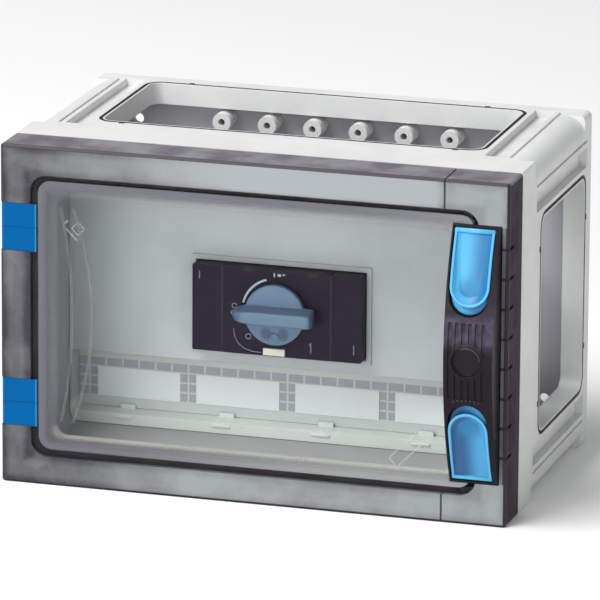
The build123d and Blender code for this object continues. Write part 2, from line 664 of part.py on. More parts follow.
def make_switch_housing():
    half = MAIN_HALF_W
    with BuildPart() as housing:
        block((-half, half), Y_BODY, (-BODY_HALF_H, BODY_HALF_H))
        block((-half, half), (Y_BODY[1] + OVERRUN, Y_NOSE), (-NOSE_H / 2, NOSE_H / 2))
        cavity_z = (-CAVITY_HALF_Z, CAVITY_HALF_Z)
        block((-CAVITY_HALF_X, CAVITY_HALF_X), Y_CAVITY, cavity_z, Mode.SUBTRACT)
        nose_x, nose_z, nose_y = NOSE_CAVITY
        block((-nose_x, nose_x), (Y_CAVITY[1], nose_y), (-nose_z, nose_z), Mode.SUBTRACT)
        rods_y([(0, 0)], SHAFT_R + SHAFT_FIT, (nose_y, Y_NOSE), Mode.SUBTRACT)
        slide_x = (SLIDE_X[0] - FIT, SLIDE_X[1] + FIT)
        slide_z = (SLIDE_Z[0] - FIT, SLIDE_Z[1] + FIT)
        block(slide_x, (SLIDE_Y[0] + FIT, Y_NOSE), slide_z, Mode.SUBTRACT)
        for side in (-1, 1):
            for x in pole_x():
                span = (x - POCKET_HALF_W, x + POCKET_HALF_W)
                block(span, Y_POCKET, (side * POCKET_Z, side * BODY_HALF_H), Mode.SUBTRACT)
                blade = (x - BLADE_HALF_W, x + BLADE_HALF_W)
                block(blade, BLADE_Y, (side * CAVITY_HALF_Z, side * POCKET_Z), Mode.SUBTRACT)
                mid_z = side * middle(CLAMP_Z)
                rods_y([(x, mid_z)], SCREW_ACCESS_R, (Y_POCKET[1], Y_BODY[1]), Mode.SUBTRACT)
    return housing.part


def make_side_module(side):
    inner = MAIN_HALF_W + MODULE_GAP
    outer = NOSE_W / 2
    span = (side * inner, side * outer)
    with BuildPart() as module:
        block(span, Y_BODY, (-BODY_HALF_H, BODY_HALF_H))
        block(span, (Y_BODY[1] + OVERRUN, Y_FACE + MODULE_SETBACK), (-NOSE_H / 2, NOSE_H / 2))
        fillet(module.edges().filter_by(Axis.Y).group_by(Axis.Y)[0], NOSE_R)
        centre = side * (inner + outer) / 2
        ends = [(centre, sz * middle(CLAMP_Z)) for sz in (-1, 1)]
        rods_y(ends, SCREW_ACCESS_R, (Y_BODY[1] + MODULE_BORE, Y_BODY[1]), Mode.SUBTRACT)
    return module.part


def make_front_plate():
    slide_x = (SLIDE_X[0] - FIT, SLIDE_X[1] + FIT)
    slide_z = (SLIDE_Z[0] - FIT, SLIDE_Z[1] + FIT)
    with BuildPart() as plate:
        slab(2 * MAIN_HALF_W, NOSE_H, NOSE_R, (Y_NOSE, Y_FACE))
        rods_y([(0, 0)], SHAFT_R + SHAFT_FIT, (Y_NOSE, Y_FACE), Mode.SUBTRACT)
        block(slide_x, (Y_NOSE, Y_FACE), slide_z, Mode.SUBTRACT)
    return plate.part


def make_fixed_contacts():
    with BuildPart() as contacts:
        for side in (-1, 1):
            for x in pole_x():
                span = (x - BLADE_HALF_W, x + BLADE_HALF_W)
                block(span, BLADE_Y, (side * BLADE_Z[0], side * BLADE_Z[1]))
                block(span, (BLADE_Y[1], TIP_Y), (side * TIP_Z[0], side * TIP_Z[1]))
    return contacts.part


def make_terminal_clamps():
    with BuildPart() as clamps:
        for side in (-1, 1):
            z = (side * CLAMP_Z[0], side * CLAMP_Z[1])
            for x in pole_x():
                block((x - CLAMP_HALF_W, x + CLAMP_HALF_W), CLAMP_Y, z)
                half, rear, front = CLAMP_WIN
                block((x - half, x + half), (rear, front), z, Mode.SUBTRACT)
                rods_y([(x, middle(z))], TERM_SCREW_R + SCREW_FIT, (front, CLAMP_Y[1]), Mode.SUBTRACT)
    return clamps.part


def make_terminal_screws():
    with BuildPart() as screws:
        for side in (-1, 1):
            points = [(x, side * middle(CLAMP_Z)) for x in pole_x()]
            rods_y(points, TERM_SCREW_R, TERM_SCREW_Y)
            thin, long = TERM_SLOT_HALF
            for x, z in points:
                slot_y = (TERM_SCREW_Y[1] + OVERRUN, TERM_SCREW_Y[1])
                block((x - thin, x + thin), slot_y, (z - long, z + long), Mode.SUBTRACT)
    return screws.part


def make_contact_carriage():
    half_x, half_z, rear, front = CARRIAGE
    with BuildPart() as carriage:
        block((-half_x, half_x), (rear, front), (-half_z, half_z))
        for side in (-1, 1):
            leg_x = (side * half_x, side * (half_x - CARRIAGE_LEG_T))
            block(leg_x, (rear, rear + CARRIAGE_LEG), (-half_z, half_z))
    return carriage.part


def make_moving_contacts():
    with BuildPart() as bridges:
        for x in pole_x():
            span = (x - BLADE_HALF_W, x + BLADE_HALF_W)
            block((span[0] + OVERRUN, span[1]), BRIDGE_Y, (-BRIDGE_HALF_Z, BRIDGE_HALF_Z))
    return bridges.part


# ---------------------------------------------------------------- handle
def make_handle_knob():
    with BuildPart() as knob:
        rods_y([(0, 0)], DISC_R, Y_DISC)
        rods_y([(0, 0)], HUB_R, (Y_DISC[0] + HUB_T, Y_DISC[0]))
        # Tapered grip with a pointed left end
        for y, size in ((Y_DISC[1], GRIP_BASE), (GRIP_FRONT_Y, GRIP_TOP)):
            with BuildSketch(Plane.XZ.offset(-y)):
                with BuildLine():
                    Polyline(*grip_points(size), close=True)
                make_face()
        loft()
        rods_y([(0, NUB_Z)], NUB_R, (Y_DISC[1], Y_DISC[1] - NUB_T))
        rods_y([(0, NUB_Z)], NUB_HOLE_R, (Y_DISC[1] + OVERRUN, Y_DISC[1] - NUB_T), Mode.SUBTRACT)
        rods_y([(0, 0)], TANG_R, (Y_DISC[0] + HUB_T, Y_DISC[1] - TANG_END), Mode.SUBTRACT)
    return knob.part


def grip_points(size):
    """Grip outline: square at the right, blunt point at the left."""
    tip, end, thick = size
    half = thick / 2
    nose = (tip, half * GRIP_NOSE[0])
    shoulder = (tip + half * GRIP_NOSE[1], half)
    return [(tip, -nose[1]), (shoulder[0], -half), (end, -half), (end, half), shoulder, nose]


def make_spindle():
    with BuildPart() as spindle:
        rods_y([(0, 0)], SHAFT_R, (Y_SHAFT_END, Y_DISC[0] + HUB_T))
        rods_y([(0, 0)], TANG_R, (Y_DISC[0] + HUB_T, Y_DISC[1] - TANG_END))
        rods_y([(0, 0)], CAM_R, (Y_SHAFT_END, Y_SHAFT_END - CAM_T))
    return spindle.part


def make_padlock_slide():
    with BuildPart() as slide:
        block(SLIDE_X, SLIDE_Y, SLIDE_Z)
    return slide.part


# ---------------------------------------------------------------- rail and earth bar
def make_din_rail():
    rear, front = Y_RAIL
    with BuildPart() as rail:
        span = (-RAIL_HALF_L, RAIL_HALF_L)
        block(span, (rear, rear - RAIL_T), (-RAIL_WEB_HALF_H, RAIL_WEB_HALF_H))
        for side in (-1, 1):
            inner = side * RAIL_WEB_HALF_H
            block(span, (rear, front), (inner, inner - side * RAIL_T))
            block(span, (front, front + RAIL_T), (inner - side * RAIL_T, side * RAIL_HALF_H))
        holes = [(side * RAIL_BOSS_X, 0) for side in (-1, 1)]
        rods_y(holes, RAIL_SCREW[0] + FIT, (rear, rear - RAIL_T), Mode.SUBTRACT)
    return rail.part


def make_rail_brackets():
    top = Y_RAIL[0]
    with BuildPart() as brackets:
        for side in (-1, 1):
            x = side * RAIL_BOSS_X
            outer_x = (x - BRACKET_HALF_W, x + BRACKET_HALF_W)
            block(outer_x, (RAIL_BOSS_Y, top), (-BRACKET_HALF_H, BRACKET_HALF_H))
            inner_z = BRACKET_HALF_H - BRACKET_T
            block(outer_x, (RAIL_BOSS_Y - BRACKET_T, top + BRACKET_T), (-inner_z, inner_z), Mode.SUBTRACT)
            rods_y([(x, 0)], RAIL_SCREW[0] + SCREW_FIT, (top + BRACKET_T, top), Mode.SUBTRACT)
            feet = [(x, sz * RAIL_BOSS_Z) for sz in (-1, 1)]
            rods_y(feet, BRACKET_SCREW[0] + FIT / 2, (RAIL_BOSS_Y, RAIL_BOSS_Y - BRACKET_T), Mode.SUBTRACT)
    return brackets.part


def pan_screws(points, size, shank_y, seat_y):
    """Pan head screws with a cross slot, driven in from the front."""
    shank_r, head_r, head_t = size
    rods_y(points, shank_r, (shank_y, seat_y))
    rods_y(points, head_r, (seat_y, seat_y - head_t))
    for x, z in points:
        slot_y = (seat_y - head_t / 2, seat_y - head_t)
        half, thin = head_r * DRIVE_SLOT[0], DRIVE_SLOT[1]
        block((x - half, x + half), slot_y, (z - thin, z + thin), Mode.SUBTRACT)
        block((x - thin, x + thin), slot_y, (z - half, z + half), Mode.SUBTRACT)


def make_rail_screws():
    with BuildPart() as screws:
        points = [(side * RAIL_BOSS_X, 0) for side in (-1, 1)]
        pan_screws(points, RAIL_SCREW, Y_RAIL[0] + BRACKET_T + 3, Y_RAIL[0] - RAIL_T)
    return screws.part


def make_bracket_screws():
    with BuildPart() as screws:
        pan_screws(rail_boss_points(), BRACKET_SCREW, -WALL - 0.5, RAIL_BOSS_Y - BRACKET_T)
    return screws.part


def make_rail_clip():
    half_x, low = RAIL_CLIP
    width = (-half_x, half_x)
    blade_y = (Y_BODY[0], Y_BODY[0] + RAIL_CLIP_T)
    hook_y = Y_RAIL[1] + RAIL_T + FIT
    edge_z = -RAIL_HALF_H
    eye_half, eye_low, eye_high = RAIL_CLIP_EYE
    with BuildPart() as clip:
        block(width, blade_y, (low, edge_z + WALL))
        block(width, (Y_BODY[0], hook_y + RAIL_HOOK), (edge_z - WALL, edge_z - FIT))
        block(width, (hook_y, hook_y + RAIL_HOOK), (edge_z - OVERRUN, edge_z + RAIL_HOOK))
        block((-eye_half, eye_half), blade_y, (low + eye_low, low + eye_high), Mode.SUBTRACT)
    return clip.part


def make_earth_bar():
    z = (-BOSS_Z - EARTH_HALF_H, -BOSS_Z + EARTH_HALF_H)
    with BuildPart() as bar:
        block((-EARTH_HALF_L, EARTH_HALF_L), EARTH_Y, z)
        fixings = [(side * BOSS_X[1], -BOSS_Z) for side in (-1, 1)]
        rods_y(fixings, BRACKET_SCREW[0] + FIT / 2, EARTH_Y, Mode.SUBTRACT)
        wires = [(x, middle(EARTH_Y)) for x in EARTH_WIRE_X]
        rods_z(wires, EARTH_WIRE_R, z, Mode.SUBTRACT)
        clamps = [(x, -BOSS_Z) for x in EARTH_WIRE_X]
        rods_y(clamps, EARTH_SCREW_R + SCREW_FIT, (middle(EARTH_Y), EARTH_Y[1]), Mode.SUBTRACT)
    return bar.part


def make_earth_bar_screws():
    with BuildPart() as screws:
        fixings = [(side * BOSS_X[1], -BOSS_Z) for side in (-1, 1)]
        pan_screws(fixings, BRACKET_SCREW, BOSS_Y + BOSS_HOLE_DEPTH - 1, EARTH_Y[1])
    return screws.part


def make_earth_clamp_screws():
    with BuildPart() as screws:
        points = [(x, -BOSS_Z) for x in EARTH_WIRE_X]
        size = (EARTH_SCREW_R, EARTH_HEAD_R, BRACKET_SCREW[2])
        pan_screws(points, size, EARTH_Y[1] + 3, EARTH_Y[1] - 1)
    return screws.part


save(make_base_box(), "base_box")
for wall_name, wall_data in WALLS.items():
    save(make_gasket(wall_data), f"gasket_{wall_name}")
save(make_door_lid(), "door_lid")
save(make_door_seal(), "door_seal")
save(make_hinge_clip(1), "hinge_clip_upper")
save(make_hinge_clip(-1), "hinge_clip_lower")
save(make_hinge_pins(), "hinge_pins")
save(make_lock_bar(), "lock_bar")
save(make_lock_plug(), "lock_plug")
save(make_lever_pins(), "lever_pins")
save(make_lever(1), "lever_upper")
save(make_lever(-1), "lever_lower")
save(make_protective_cover(), "protective_cover")
save(make_label_holder(), "label_holder")
save(make_label_inserts(), "label_inserts")
save(make_switch_housing(), "switch_housing")
save(make_side_module(-1), "side_module_left")
save(make_side_module(1), "side_module_right")
save(make_front_plate(), "switch_front_plate")
save(make_fixed_contacts(), "fixed_contacts")
save(make_terminal_clamps(), "terminal_clamps")
save(make_terminal_screws(), "terminal_screws")
save(make_contact_carriage(), "contact_carriage")
save(make_moving_contacts(), "moving_contacts")
save(make_handle_knob(), "handle_knob")
save(make_spindle(), "spindle")
save(make_padlock_slide(), "padlock_slide")
save(make_din_rail(), "din_rail")
save(make_rail_brackets(), "rail_brackets")
save(make_rail_screws(), "rail_screws")
save(make_bracket_screws(), "bracket_screws")
save(make_rail_clip(), "rail_clip")
save(make_earth_bar(), "earth_bar")
save(make_earth_bar_screws(), "earth_bar_screws")
save(make_earth_clamp_screws(), "earth_clamp_screws")
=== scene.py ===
import json
import math

import bmesh
import bpy
from mathutils import Matrix, Vector


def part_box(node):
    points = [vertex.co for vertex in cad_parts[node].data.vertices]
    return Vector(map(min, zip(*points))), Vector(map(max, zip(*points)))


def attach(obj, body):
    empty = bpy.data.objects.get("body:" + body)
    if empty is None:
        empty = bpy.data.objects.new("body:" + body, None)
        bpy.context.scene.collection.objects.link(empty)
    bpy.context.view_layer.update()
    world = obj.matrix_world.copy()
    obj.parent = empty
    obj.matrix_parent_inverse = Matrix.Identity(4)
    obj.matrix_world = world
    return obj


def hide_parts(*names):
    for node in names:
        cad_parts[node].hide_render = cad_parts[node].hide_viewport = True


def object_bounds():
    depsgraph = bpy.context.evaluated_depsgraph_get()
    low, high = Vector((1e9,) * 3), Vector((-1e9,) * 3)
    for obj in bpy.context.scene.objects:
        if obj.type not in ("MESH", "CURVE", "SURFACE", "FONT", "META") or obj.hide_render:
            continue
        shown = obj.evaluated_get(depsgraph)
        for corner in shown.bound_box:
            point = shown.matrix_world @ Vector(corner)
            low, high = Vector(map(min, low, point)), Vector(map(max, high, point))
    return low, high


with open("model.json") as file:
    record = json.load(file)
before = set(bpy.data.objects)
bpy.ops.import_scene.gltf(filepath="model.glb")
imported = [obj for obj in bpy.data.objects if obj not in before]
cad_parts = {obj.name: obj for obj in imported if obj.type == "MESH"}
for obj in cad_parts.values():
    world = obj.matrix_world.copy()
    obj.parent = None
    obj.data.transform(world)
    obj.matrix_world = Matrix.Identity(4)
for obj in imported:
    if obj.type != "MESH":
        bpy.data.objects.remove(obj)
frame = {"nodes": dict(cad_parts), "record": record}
cad_box = [list(v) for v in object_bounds()]

MM = 0.001
HALF_X, HALF_Z = cad_box[1][0], cad_box[1][2]


# ------------------------------------------------------------ places shared by shapes and materials
# in millimetres
BAR_CENTRE_Y = -22.9
BAR_RADIUS = 155.6
BAR_X = 117.3
LEVER_X, LEVER_HALF, LEVER_TOP = 117.4, 10.5, 155.3
LEVER_FLAT_Z, LEVER_ROUND_Z = 65.9, 38.2
LEVER_LENGTH = LEVER_FLAT_Z - LEVER_ROUND_Z + LEVER_HALF
FACE_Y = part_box("switch_front_plate")[0][1] / MM
STRIP_LOW, STRIP_HIGH = [[v / MM for v in corner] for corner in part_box("label_holder")]
# in metres
CLIP_LOW, CLIP_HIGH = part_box("hinge_clip_upper")
CLIP_MID_Z = (CLIP_LOW[2] + CLIP_HIGH[2]) / 2
SEAM_X = 0.101
TICK_START_Z, TICK_PITCH = 0.0091, 0.0156
SQUARE_PITCH_X, SQUARE_PITCH_Z = 0.009, 0.00527
SQUARES_START_Z, SQUARE_ROWS = -0.0584, 4.0


# ------------------------------------------------------------ material graphs
class Graph:
    """A node material with short calls for its textures. Coordinates are in metres, on the CAD axes."""

    def __init__(self, name):
        self.mat = bpy.data.materials.new(name)
        self.mat.use_nodes = True
        self.tree = self.mat.node_tree
        self.shader = self.tree.nodes["Principled BSDF"]
        self.place = self.add("ShaderNodeTexCoord").outputs["Object"]

    def add(self, kind, **settings):
        node = self.tree.nodes.new(kind)
        for key, value in settings.items():
            setattr(node, key, value)
        return node

    def feed(self, socket, value):
        if isinstance(value, bpy.types.NodeSocket):
            self.tree.links.new(value, socket)
        else:
            socket.default_value = value

    def math(self, op, a, b=0.0, clamp=False):
        node = self.add("ShaderNodeMath", operation=op, use_clamp=clamp)
        self.feed(node.inputs[0], a)
        self.feed(node.inputs[1], b)
        return node.outputs[0]

    def plus(self, a, b):
        return self.math("ADD", a, b)

    def minus(self, a, b):
        return self.math("SUBTRACT", a, b)

    def times(self, first, *others):
        for other in others:
            first = self.math("MULTIPLY", first, other)
        return first

    def over(self, a, b):
        return self.math("DIVIDE", a, b)

    def larger(self, a, b):
        return self.math("MAXIMUM", a, b)

    def size(self, a):
        return self.math("ABSOLUTE", a)

    def span(self, value, low, high, to_low=0.0, to_high=1.0, smooth=True):
        node = self.add("ShaderNodeMapRange", interpolation_type="SMOOTHSTEP" if smooth else "LINEAR")
        for socket, number in zip(node.inputs, (value, low, high, to_low, to_high)):
            self.feed(socket, number)
        return node.outputs[0]

    def fade(self, value, low, high):
        return self.span(value, low, high, 1.0, 0.0)

    def choose(self, share, a, b):
        return self.span(share, 0.0, 1.0, a, b, smooth=False)

    def off_line(self, value, pitch):
        """Distance to the nearest multiple of the pitch, in pitches. The added 100 keeps the sum positive."""
        place = self.math("FRACT", self.plus(self.over(value, pitch), 100.5))
        return self.size(self.minus(place, 0.5))

    def blend(self, share, a, b):
        node = self.add("ShaderNodeMix", data_type="RGBA")
        self.feed(node.inputs[0], share)
        self.feed(node.inputs[6], a if isinstance(a, bpy.types.NodeSocket) else rgba(a))
        self.feed(node.inputs[7], b if isinstance(b, bpy.types.NodeSocket) else rgba(b))
        return node.outputs[2]

    def stretch(self, scale):
        node = self.add("ShaderNodeMapping")
        self.feed(node.inputs[0], self.place)
        node.inputs["Scale"].default_value = scale
        return node.outputs[0]

    def noise(self, scale, detail=2.0, rough=0.5, twist=0.0, stretch=None):
        node = self.add("ShaderNodeTexNoise")
        self.feed(node.inputs["Vector"], self.stretch(stretch) if stretch else self.place)
        for key, value in (("Scale", scale), ("Detail", detail), ("Roughness", rough), ("Distortion", twist)):
            node.inputs[key].default_value = value
        return node.outputs[0]

    def axes(self):
        node = self.add("ShaderNodeSeparateXYZ")
        self.feed(node.inputs[0], self.place)
        return node.outputs

    def set(self, name, value):
        self.feed(self.shader.inputs[name], value)

    def relief(self, height, depth, strength=1.0, edge=0.0):
        """Bump of a height field, over normals that are rounded at sharp edges."""
        bump = self.add("ShaderNodeBump")
        bump.inputs["Strength"].default_value = strength
        bump.inputs["Distance"].default_value = depth
        self.feed(bump.inputs["Height"], height)
        if edge:
            bevel = self.add("ShaderNodeBevel", samples=4)
            bevel.inputs["Radius"].default_value = edge
            self.feed(bump.inputs["Normal"], bevel.outputs[0])
        self.set("Normal", bump.outputs[0])


def rgba(colour):
    return (*colour, 1.0) if len(colour) == 3 else tuple(colour)


def srgb(*values):
    """Linear colour of 0-255 sRGB numbers."""
    shares = [v / 255 for v in values]
    return tuple(s / 12.92 if s <= 0.04045 else ((s + 0.055) / 1.055) ** 2.4 for s in shares)


def scaled(colour, factor):
    return tuple(min(1.0, c * factor) for c in colour)


# ------------------------------------------------------------ plain materials
def plastic(name, colour, rough=0.45, spread=0.06, grain=0.00004, edge=0.0004, shine=0.5, tint=None):
    """Moulded plastic: faint clouding, fine eroded grain and slightly uneven gloss.

    tint(g) gives pairs of a share and another colour, which are laid over the first colour in turn."""
    g = Graph(name)
    cloud = g.noise(28, 4, 0.6)
    speck = g.noise(1800, 2, 0.6)
    tone = g.plus(g.times(cloud, 0.75), g.times(speck, 0.25))
    shade = g.blend(g.span(tone, 0.3, 0.7), scaled(colour, 1 - spread), scaled(colour, 1 + spread))
    for share, other in tint(g) if tint else ():
        shade = g.blend(share, shade, other)
    g.set("Base Color", shade)
    g.set("Roughness", g.span(g.noise(60, 3), 0.3, 0.7, rough - 0.05, rough + 0.06))
    g.set("Specular IOR Level", shine)
    g.relief(speck, grain, 1.0, edge)
    return g.mat


def metal(name, colour):
    """Brushed metal, with fine streaks across Z in colour and gloss."""
    g = Graph(name)
    streak = g.noise(220, 3, 0.6, stretch=(1, 1, 60))
    g.set("Base Color", g.blend(g.span(streak, 0.3, 0.7), scaled(colour, 0.82), scaled(colour, 1.1)))
    g.set("Metallic", 1.0)
    g.set("Roughness", g.span(streak, 0.3, 0.7, 0.24, 0.38))
    g.relief(streak, 0.00002, 1.0, 0.0003)
    return g.mat


def rubber(name, colour):
    g = Graph(name)
    fine = g.noise(1400, 3, 0.65)
    g.set("Base Color", g.blend(fine, scaled(colour, 0.7), scaled(colour, 1.5)))
    g.set("Roughness", g.span(g.noise(90, 2), 0.3, 0.7, 0.6, 0.78))
    g.relief(fine, 0.00005, 1.0, 0.0003)
    return g.mat


# ------------------------------------------------------------ tints by place
# Each pair is where a share starts and where it is complete, or the other way round with fade, in metres.
ROOM_X, ROOM_Z = (0.1225, 0.1245), (0.0775, 0.0795)
ROOM_FRONT_Y, ROOM_REAR_Y = (-0.096, -0.090), (-0.001, 0.0)
BOSS_X, BOSS_Z = (0.069, 0.070), (0.0665, 0.0668)
BOSS_FRONT_Y, BOSS_REAR_Y = (-0.0166, -0.0164), (-0.0040, -0.0036)
COLLAR_X, COLLAR_Z, COLLAR_REAR_Y = (0.1158, 0.1161), (0.0704, 0.0707), (-0.1036, -0.1034)
COLLAR_TIP_Y = (-0.1500, -0.1485)
COVER_LEFT_X, COVER_LEDGE_Z = (-0.110, -0.060), (-0.062, -0.057)
RIBS_LOW_Z, RIBS_HIGH_Z, RIBS_FACE_Y = (0.004, 0.012), (0.026, 0.034), (-0.1772, -0.1764)
DISH_RIM, DISH_WALL_TOP = (0.0001, 0.0003), (0.0003, 0.0007)
DISH_WALL_END, DISH_FLOOR = (0.0024, 0.0032), (0.0022, 0.0030)
DISH_ACROSS_X, UPPER_LEVER_Z = (0.113, 0.123), (-0.001, 0.001)
GRIP_FOOT_Y, GRIP_TOP_Y, GRIP_FRONT_Y = (-0.1262, -0.1252), (-0.1336, -0.1326), (-0.1338, -0.1332)
DISC_FACE_Y = (-0.1252, -0.1250)


def box_shade_tint(g):
    """Painted shade: the enclosure's inner walls and the inside of its collar are tinted darker and greyer
    than the outside, where they lie in shade.
    """
    x, y, z = g.axes()
    wide, high = g.size(x), g.size(z)
    boss = g.times(g.span(high, *BOSS_Z), g.fade(y, *BOSS_REAR_Y))
    boss = g.times(boss, g.span(y, *BOSS_FRONT_Y), g.fade(wide, *BOSS_X))
    # painted shade on the inner walls deep in the box, leaving out the bosses
    room_shade = g.times(g.fade(wide, *ROOM_X), g.fade(high, *ROOM_Z))
    room_shade = g.times(room_shade, g.span(y, *ROOM_FRONT_Y), g.fade(y, *ROOM_REAR_Y), g.minus(1.0, boss))
    # painted shade inside the collar, greyer behind its pale cream tip
    collar = g.times(g.fade(wide, *COLLAR_X), g.fade(high, *COLLAR_Z), g.fade(y, *COLLAR_REAR_Y))
    collar_shade_tone = g.blend(g.span(y, *COLLAR_TIP_Y), srgb(212, 210, 192), srgb(160, 163, 162))
    return [(room_shade, srgb(184, 183, 190)), (collar, collar_shade_tone)]


def cover_tint(g):
    """The cover is darker at the left, and paler on its lower ledge where light falls in."""
    x, y, z = g.axes()
    left = g.span(x, *COVER_LEFT_X, 0.8, 0.0)
    ledge = g.span(z, *COVER_LEDGE_Z, 0.9, 0.0)
    return [(left, srgb(172, 178, 183)), (ledge, srgb(224, 230, 224))]


def bar_highlight_tint(g):
    """Painted highlight: the lock bar is paler over its upper ribs, which face up to the light, in uneven
    patches.
    """
    x, y, z = g.axes()
    # painted highlight on the upper ribs, strongest on the bar's face
    ribs = g.times(g.span(z, *RIBS_LOW_Z), g.fade(z, *RIBS_HIGH_Z))
    ribs = g.times(ribs, g.span(y, *RIBS_FACE_Y, 1.0, 0.2))
    # the painted highlight breaks into uneven patches
    sheen_patches = g.span(g.noise(220, 3), 0.3, 0.7, 0.35, 0.9)
    return [(g.times(ribs, sheen_patches), srgb(74, 68, 86))]


def lever_shading_tint(g):
    """Walls, floor and rim of the levers' dishes, told apart by their depth under the levers' arched face,
    with painted shading on the walls and a painted highlight on the rim.
    """
    x, y, z = g.axes()
    forward = g.minus(y, BAR_CENTRE_Y * MM)
    reach = g.math("POWER", g.plus(g.times(forward, forward), g.times(z, z)), 0.5)
    depth = g.minus(LEVER_TOP * MM, reach)
    wall = g.times(g.span(depth, *DISH_WALL_TOP), g.fade(depth, *DISH_WALL_END))
    # painted shading: each dish wall is paler on its lit side and darker on its shaded side, left and right
    # swapped between the two levers
    right = g.span(x, *DISH_ACROSS_X)
    lower_wall_shading = g.blend(right, srgb(34, 84, 132), srgb(66, 146, 194))
    upper_wall_shading = g.blend(right, srgb(72, 162, 208), srgb(36, 108, 158))
    floor_share = g.span(depth, *DISH_FLOOR, 0.0, 0.8)
    # painted highlight along the dish's rim
    rim = g.fade(depth, *DISH_RIM)
    return [
        (wall, g.blend(g.span(z, *UPPER_LEVER_Z), lower_wall_shading, upper_wall_shading)),
        (floor_share, srgb(28, 118, 162)),
        (g.times(rim, 0.6), srgb(98, 190, 228)),
    ]


def knob_tint(g):
    """The handle's grip has greyer flanks and a paler front, and the disc is shaded beside its hollow."""
    x, y, z = g.axes()
    flank = g.times(g.fade(y, *GRIP_FOOT_Y), g.span(y, *GRIP_TOP_Y))
    front = g.fade(y, *GRIP_FRONT_Y)
    across = g.over(g.minus(g.size(g.minus(x, 0.0004)), 0.0046), 0.0030)
    along = g.over(g.plus(z, 0.0098), 0.0036)
    far = g.plus(g.times(across, across), g.times(along, along))
    shade = g.times(g.fade(far, 0.2, 1.6), g.span(y, *DISC_FACE_Y), 0.75)
    return [(flank, srgb(86, 106, 130)), (front, srgb(98, 124, 146)), (shade, srgb(66, 84, 104))]


def clip_tint(g):
    """The hinge clips have a pale right edge, a painted highlight where the edge catches the light, and a
    faint groove across the middle.
    """
    x, y, z = g.axes()
    # painted highlight along the clips' right edge
    edge = g.span(x, CLIP_HIGH[0] - 0.0008, CLIP_HIGH[0] - 0.0004)
    groove = g.fade(g.size(g.minus(g.size(z), CLIP_MID_Z)), 0.0003, 0.0006)
    return [(g.times(edge, 0.7), srgb(60, 150, 196)), (g.times(groove, 0.5), srgb(0, 62, 112))]


# ------------------------------------------------------------ door plastic
# Rounded rectangles as centre, half size and corner radius, and pairs as above. A rim is a distance outside
# the door's outline, so it is negative on the door.
SEAL_OUTLINE = ((0, 0), (0.1190, 0.0747), 0.009)
WINDOW_OUTLINE = ((0.0009, 0.0008), (0.1156, 0.0714), 0.007)
BORDER, BORDER_END = (-0.0120, 0.0), (-0.0002, 0.0003)
FRAME_RIM, DARK_RIM, WALL_RIM = (-0.0155, -0.0005), (-0.0017, -0.0012), (-0.0031, -0.0029)
LEFT_SMOKE_X, ABOVE_Z = (-0.120, -0.03), (0.073, 0.077)
ABOVE_LEFT_X, ABOVE_RIGHT_X = (-0.07, 0.0), (0.095, 0.101)
BAR_SIDE_X, BAR_END_Z = (0.1252, 0.1258), (0.0668, 0.0676)
STRIP_LEFT_X, STRIP_RIGHT_X = (0.1312, 0.1316), (0.1328, 0.1332)
TICK_WIDTH, TICK_REAR_Y, TICK_END_Z = (0.03, 0.08), (-0.1560, -0.1515), (0.0600, 0.0610)
SEAM_WIDTH = (0.0003, 0.0007)
FLANK_REAR_Y, FRONT_Y = (-0.1475, -0.1450), (-0.1614, -0.1611)
LID_Z = (0.0885, 0.0888)
CLEAR_X = (-0.112, -0.045)


def beyond(g, centre, half, corner):
    """Distance outside a rounded rectangle in X and Z."""
    x, y, z = g.axes()
    side = g.minus(g.size(g.minus(x, centre[0])), half[0] - corner)
    top = g.minus(g.size(g.minus(z, centre[1])), half[1] - corner)
    reach = g.plus(g.math("POWER", g.larger(side, 0.0), 2.0), g.math("POWER", g.larger(top, 0.0), 2.0))
    inner = g.math("MINIMUM", g.larger(side, top), 0.0)
    return g.minus(g.plus(g.math("SQRT", reach), inner), corner)


def frosted(g, rim, cloud, fine):
    """Frosted frame: darker at the left, paler along the middle of each side and above the window."""
    x, y, z = g.axes()
    band = g.minus(1.0, g.size(g.span(rim, *FRAME_RIM, -1.0, 1.0, smooth=False)))
    above = g.times(g.span(z, *ABOVE_Z), g.span(x, *ABOVE_LEFT_X), g.fade(x, *ABOVE_RIGHT_X))
    tone = g.plus(g.span(x, *LEFT_SMOKE_X, 0.0, 0.56), g.span(band, 0.05, 0.7, 0.0, 0.26))
    tone = g.plus(tone, g.times(above, 0.30))
    tone = g.plus(tone, g.span(g.noise(34, 3, 0.5, 0.3), 0.3, 0.7, -0.04, 0.22))
    tone = g.plus(tone, g.span(cloud, 0.3, 0.7, -0.05, 0.05))
    tone = g.math("ADD", tone, g.span(fine, 0.2, 0.8, -0.03, 0.03), clamp=True)
    frost = g.blend(tone, srgb(48, 43, 53), srgb(141, 145, 146))
    return g.blend(g.times(above, 0.7), frost, srgb(155, 159, 163))


def clear_tone(g, near_seal, cloud):
    """Colour of the clear window, and of the milky border along the seal."""
    x, y, z = g.axes()
    clear = g.blend(cloud, srgb(26, 24, 30), srgb(40, 38, 44))
    border = g.blend(g.span(g.minus(x, z), -0.04, 0.14), srgb(94, 94, 103), srgb(140, 144, 142))
    return g.blend(g.span(near_seal, 0.05, 0.5), clear, border)


def bar_side(g):
    """Share of the door's face beside the lock bar."""
    x, y, z = g.axes()
    return g.times(g.span(x, *BAR_SIDE_X), g.fade(g.size(z), *BAR_END_Z))


def door_ticks(g):
    """Short dark notches beside the lock bar, at a steady pitch up the door."""
    x, y, z = g.axes()
    notch = g.fade(g.off_line(g.minus(z, TICK_START_Z), TICK_PITCH), *TICK_WIDTH)
    return g.times(notch, g.fade(y, *TICK_REAR_Y), g.fade(g.size(z), *TICK_END_Z))


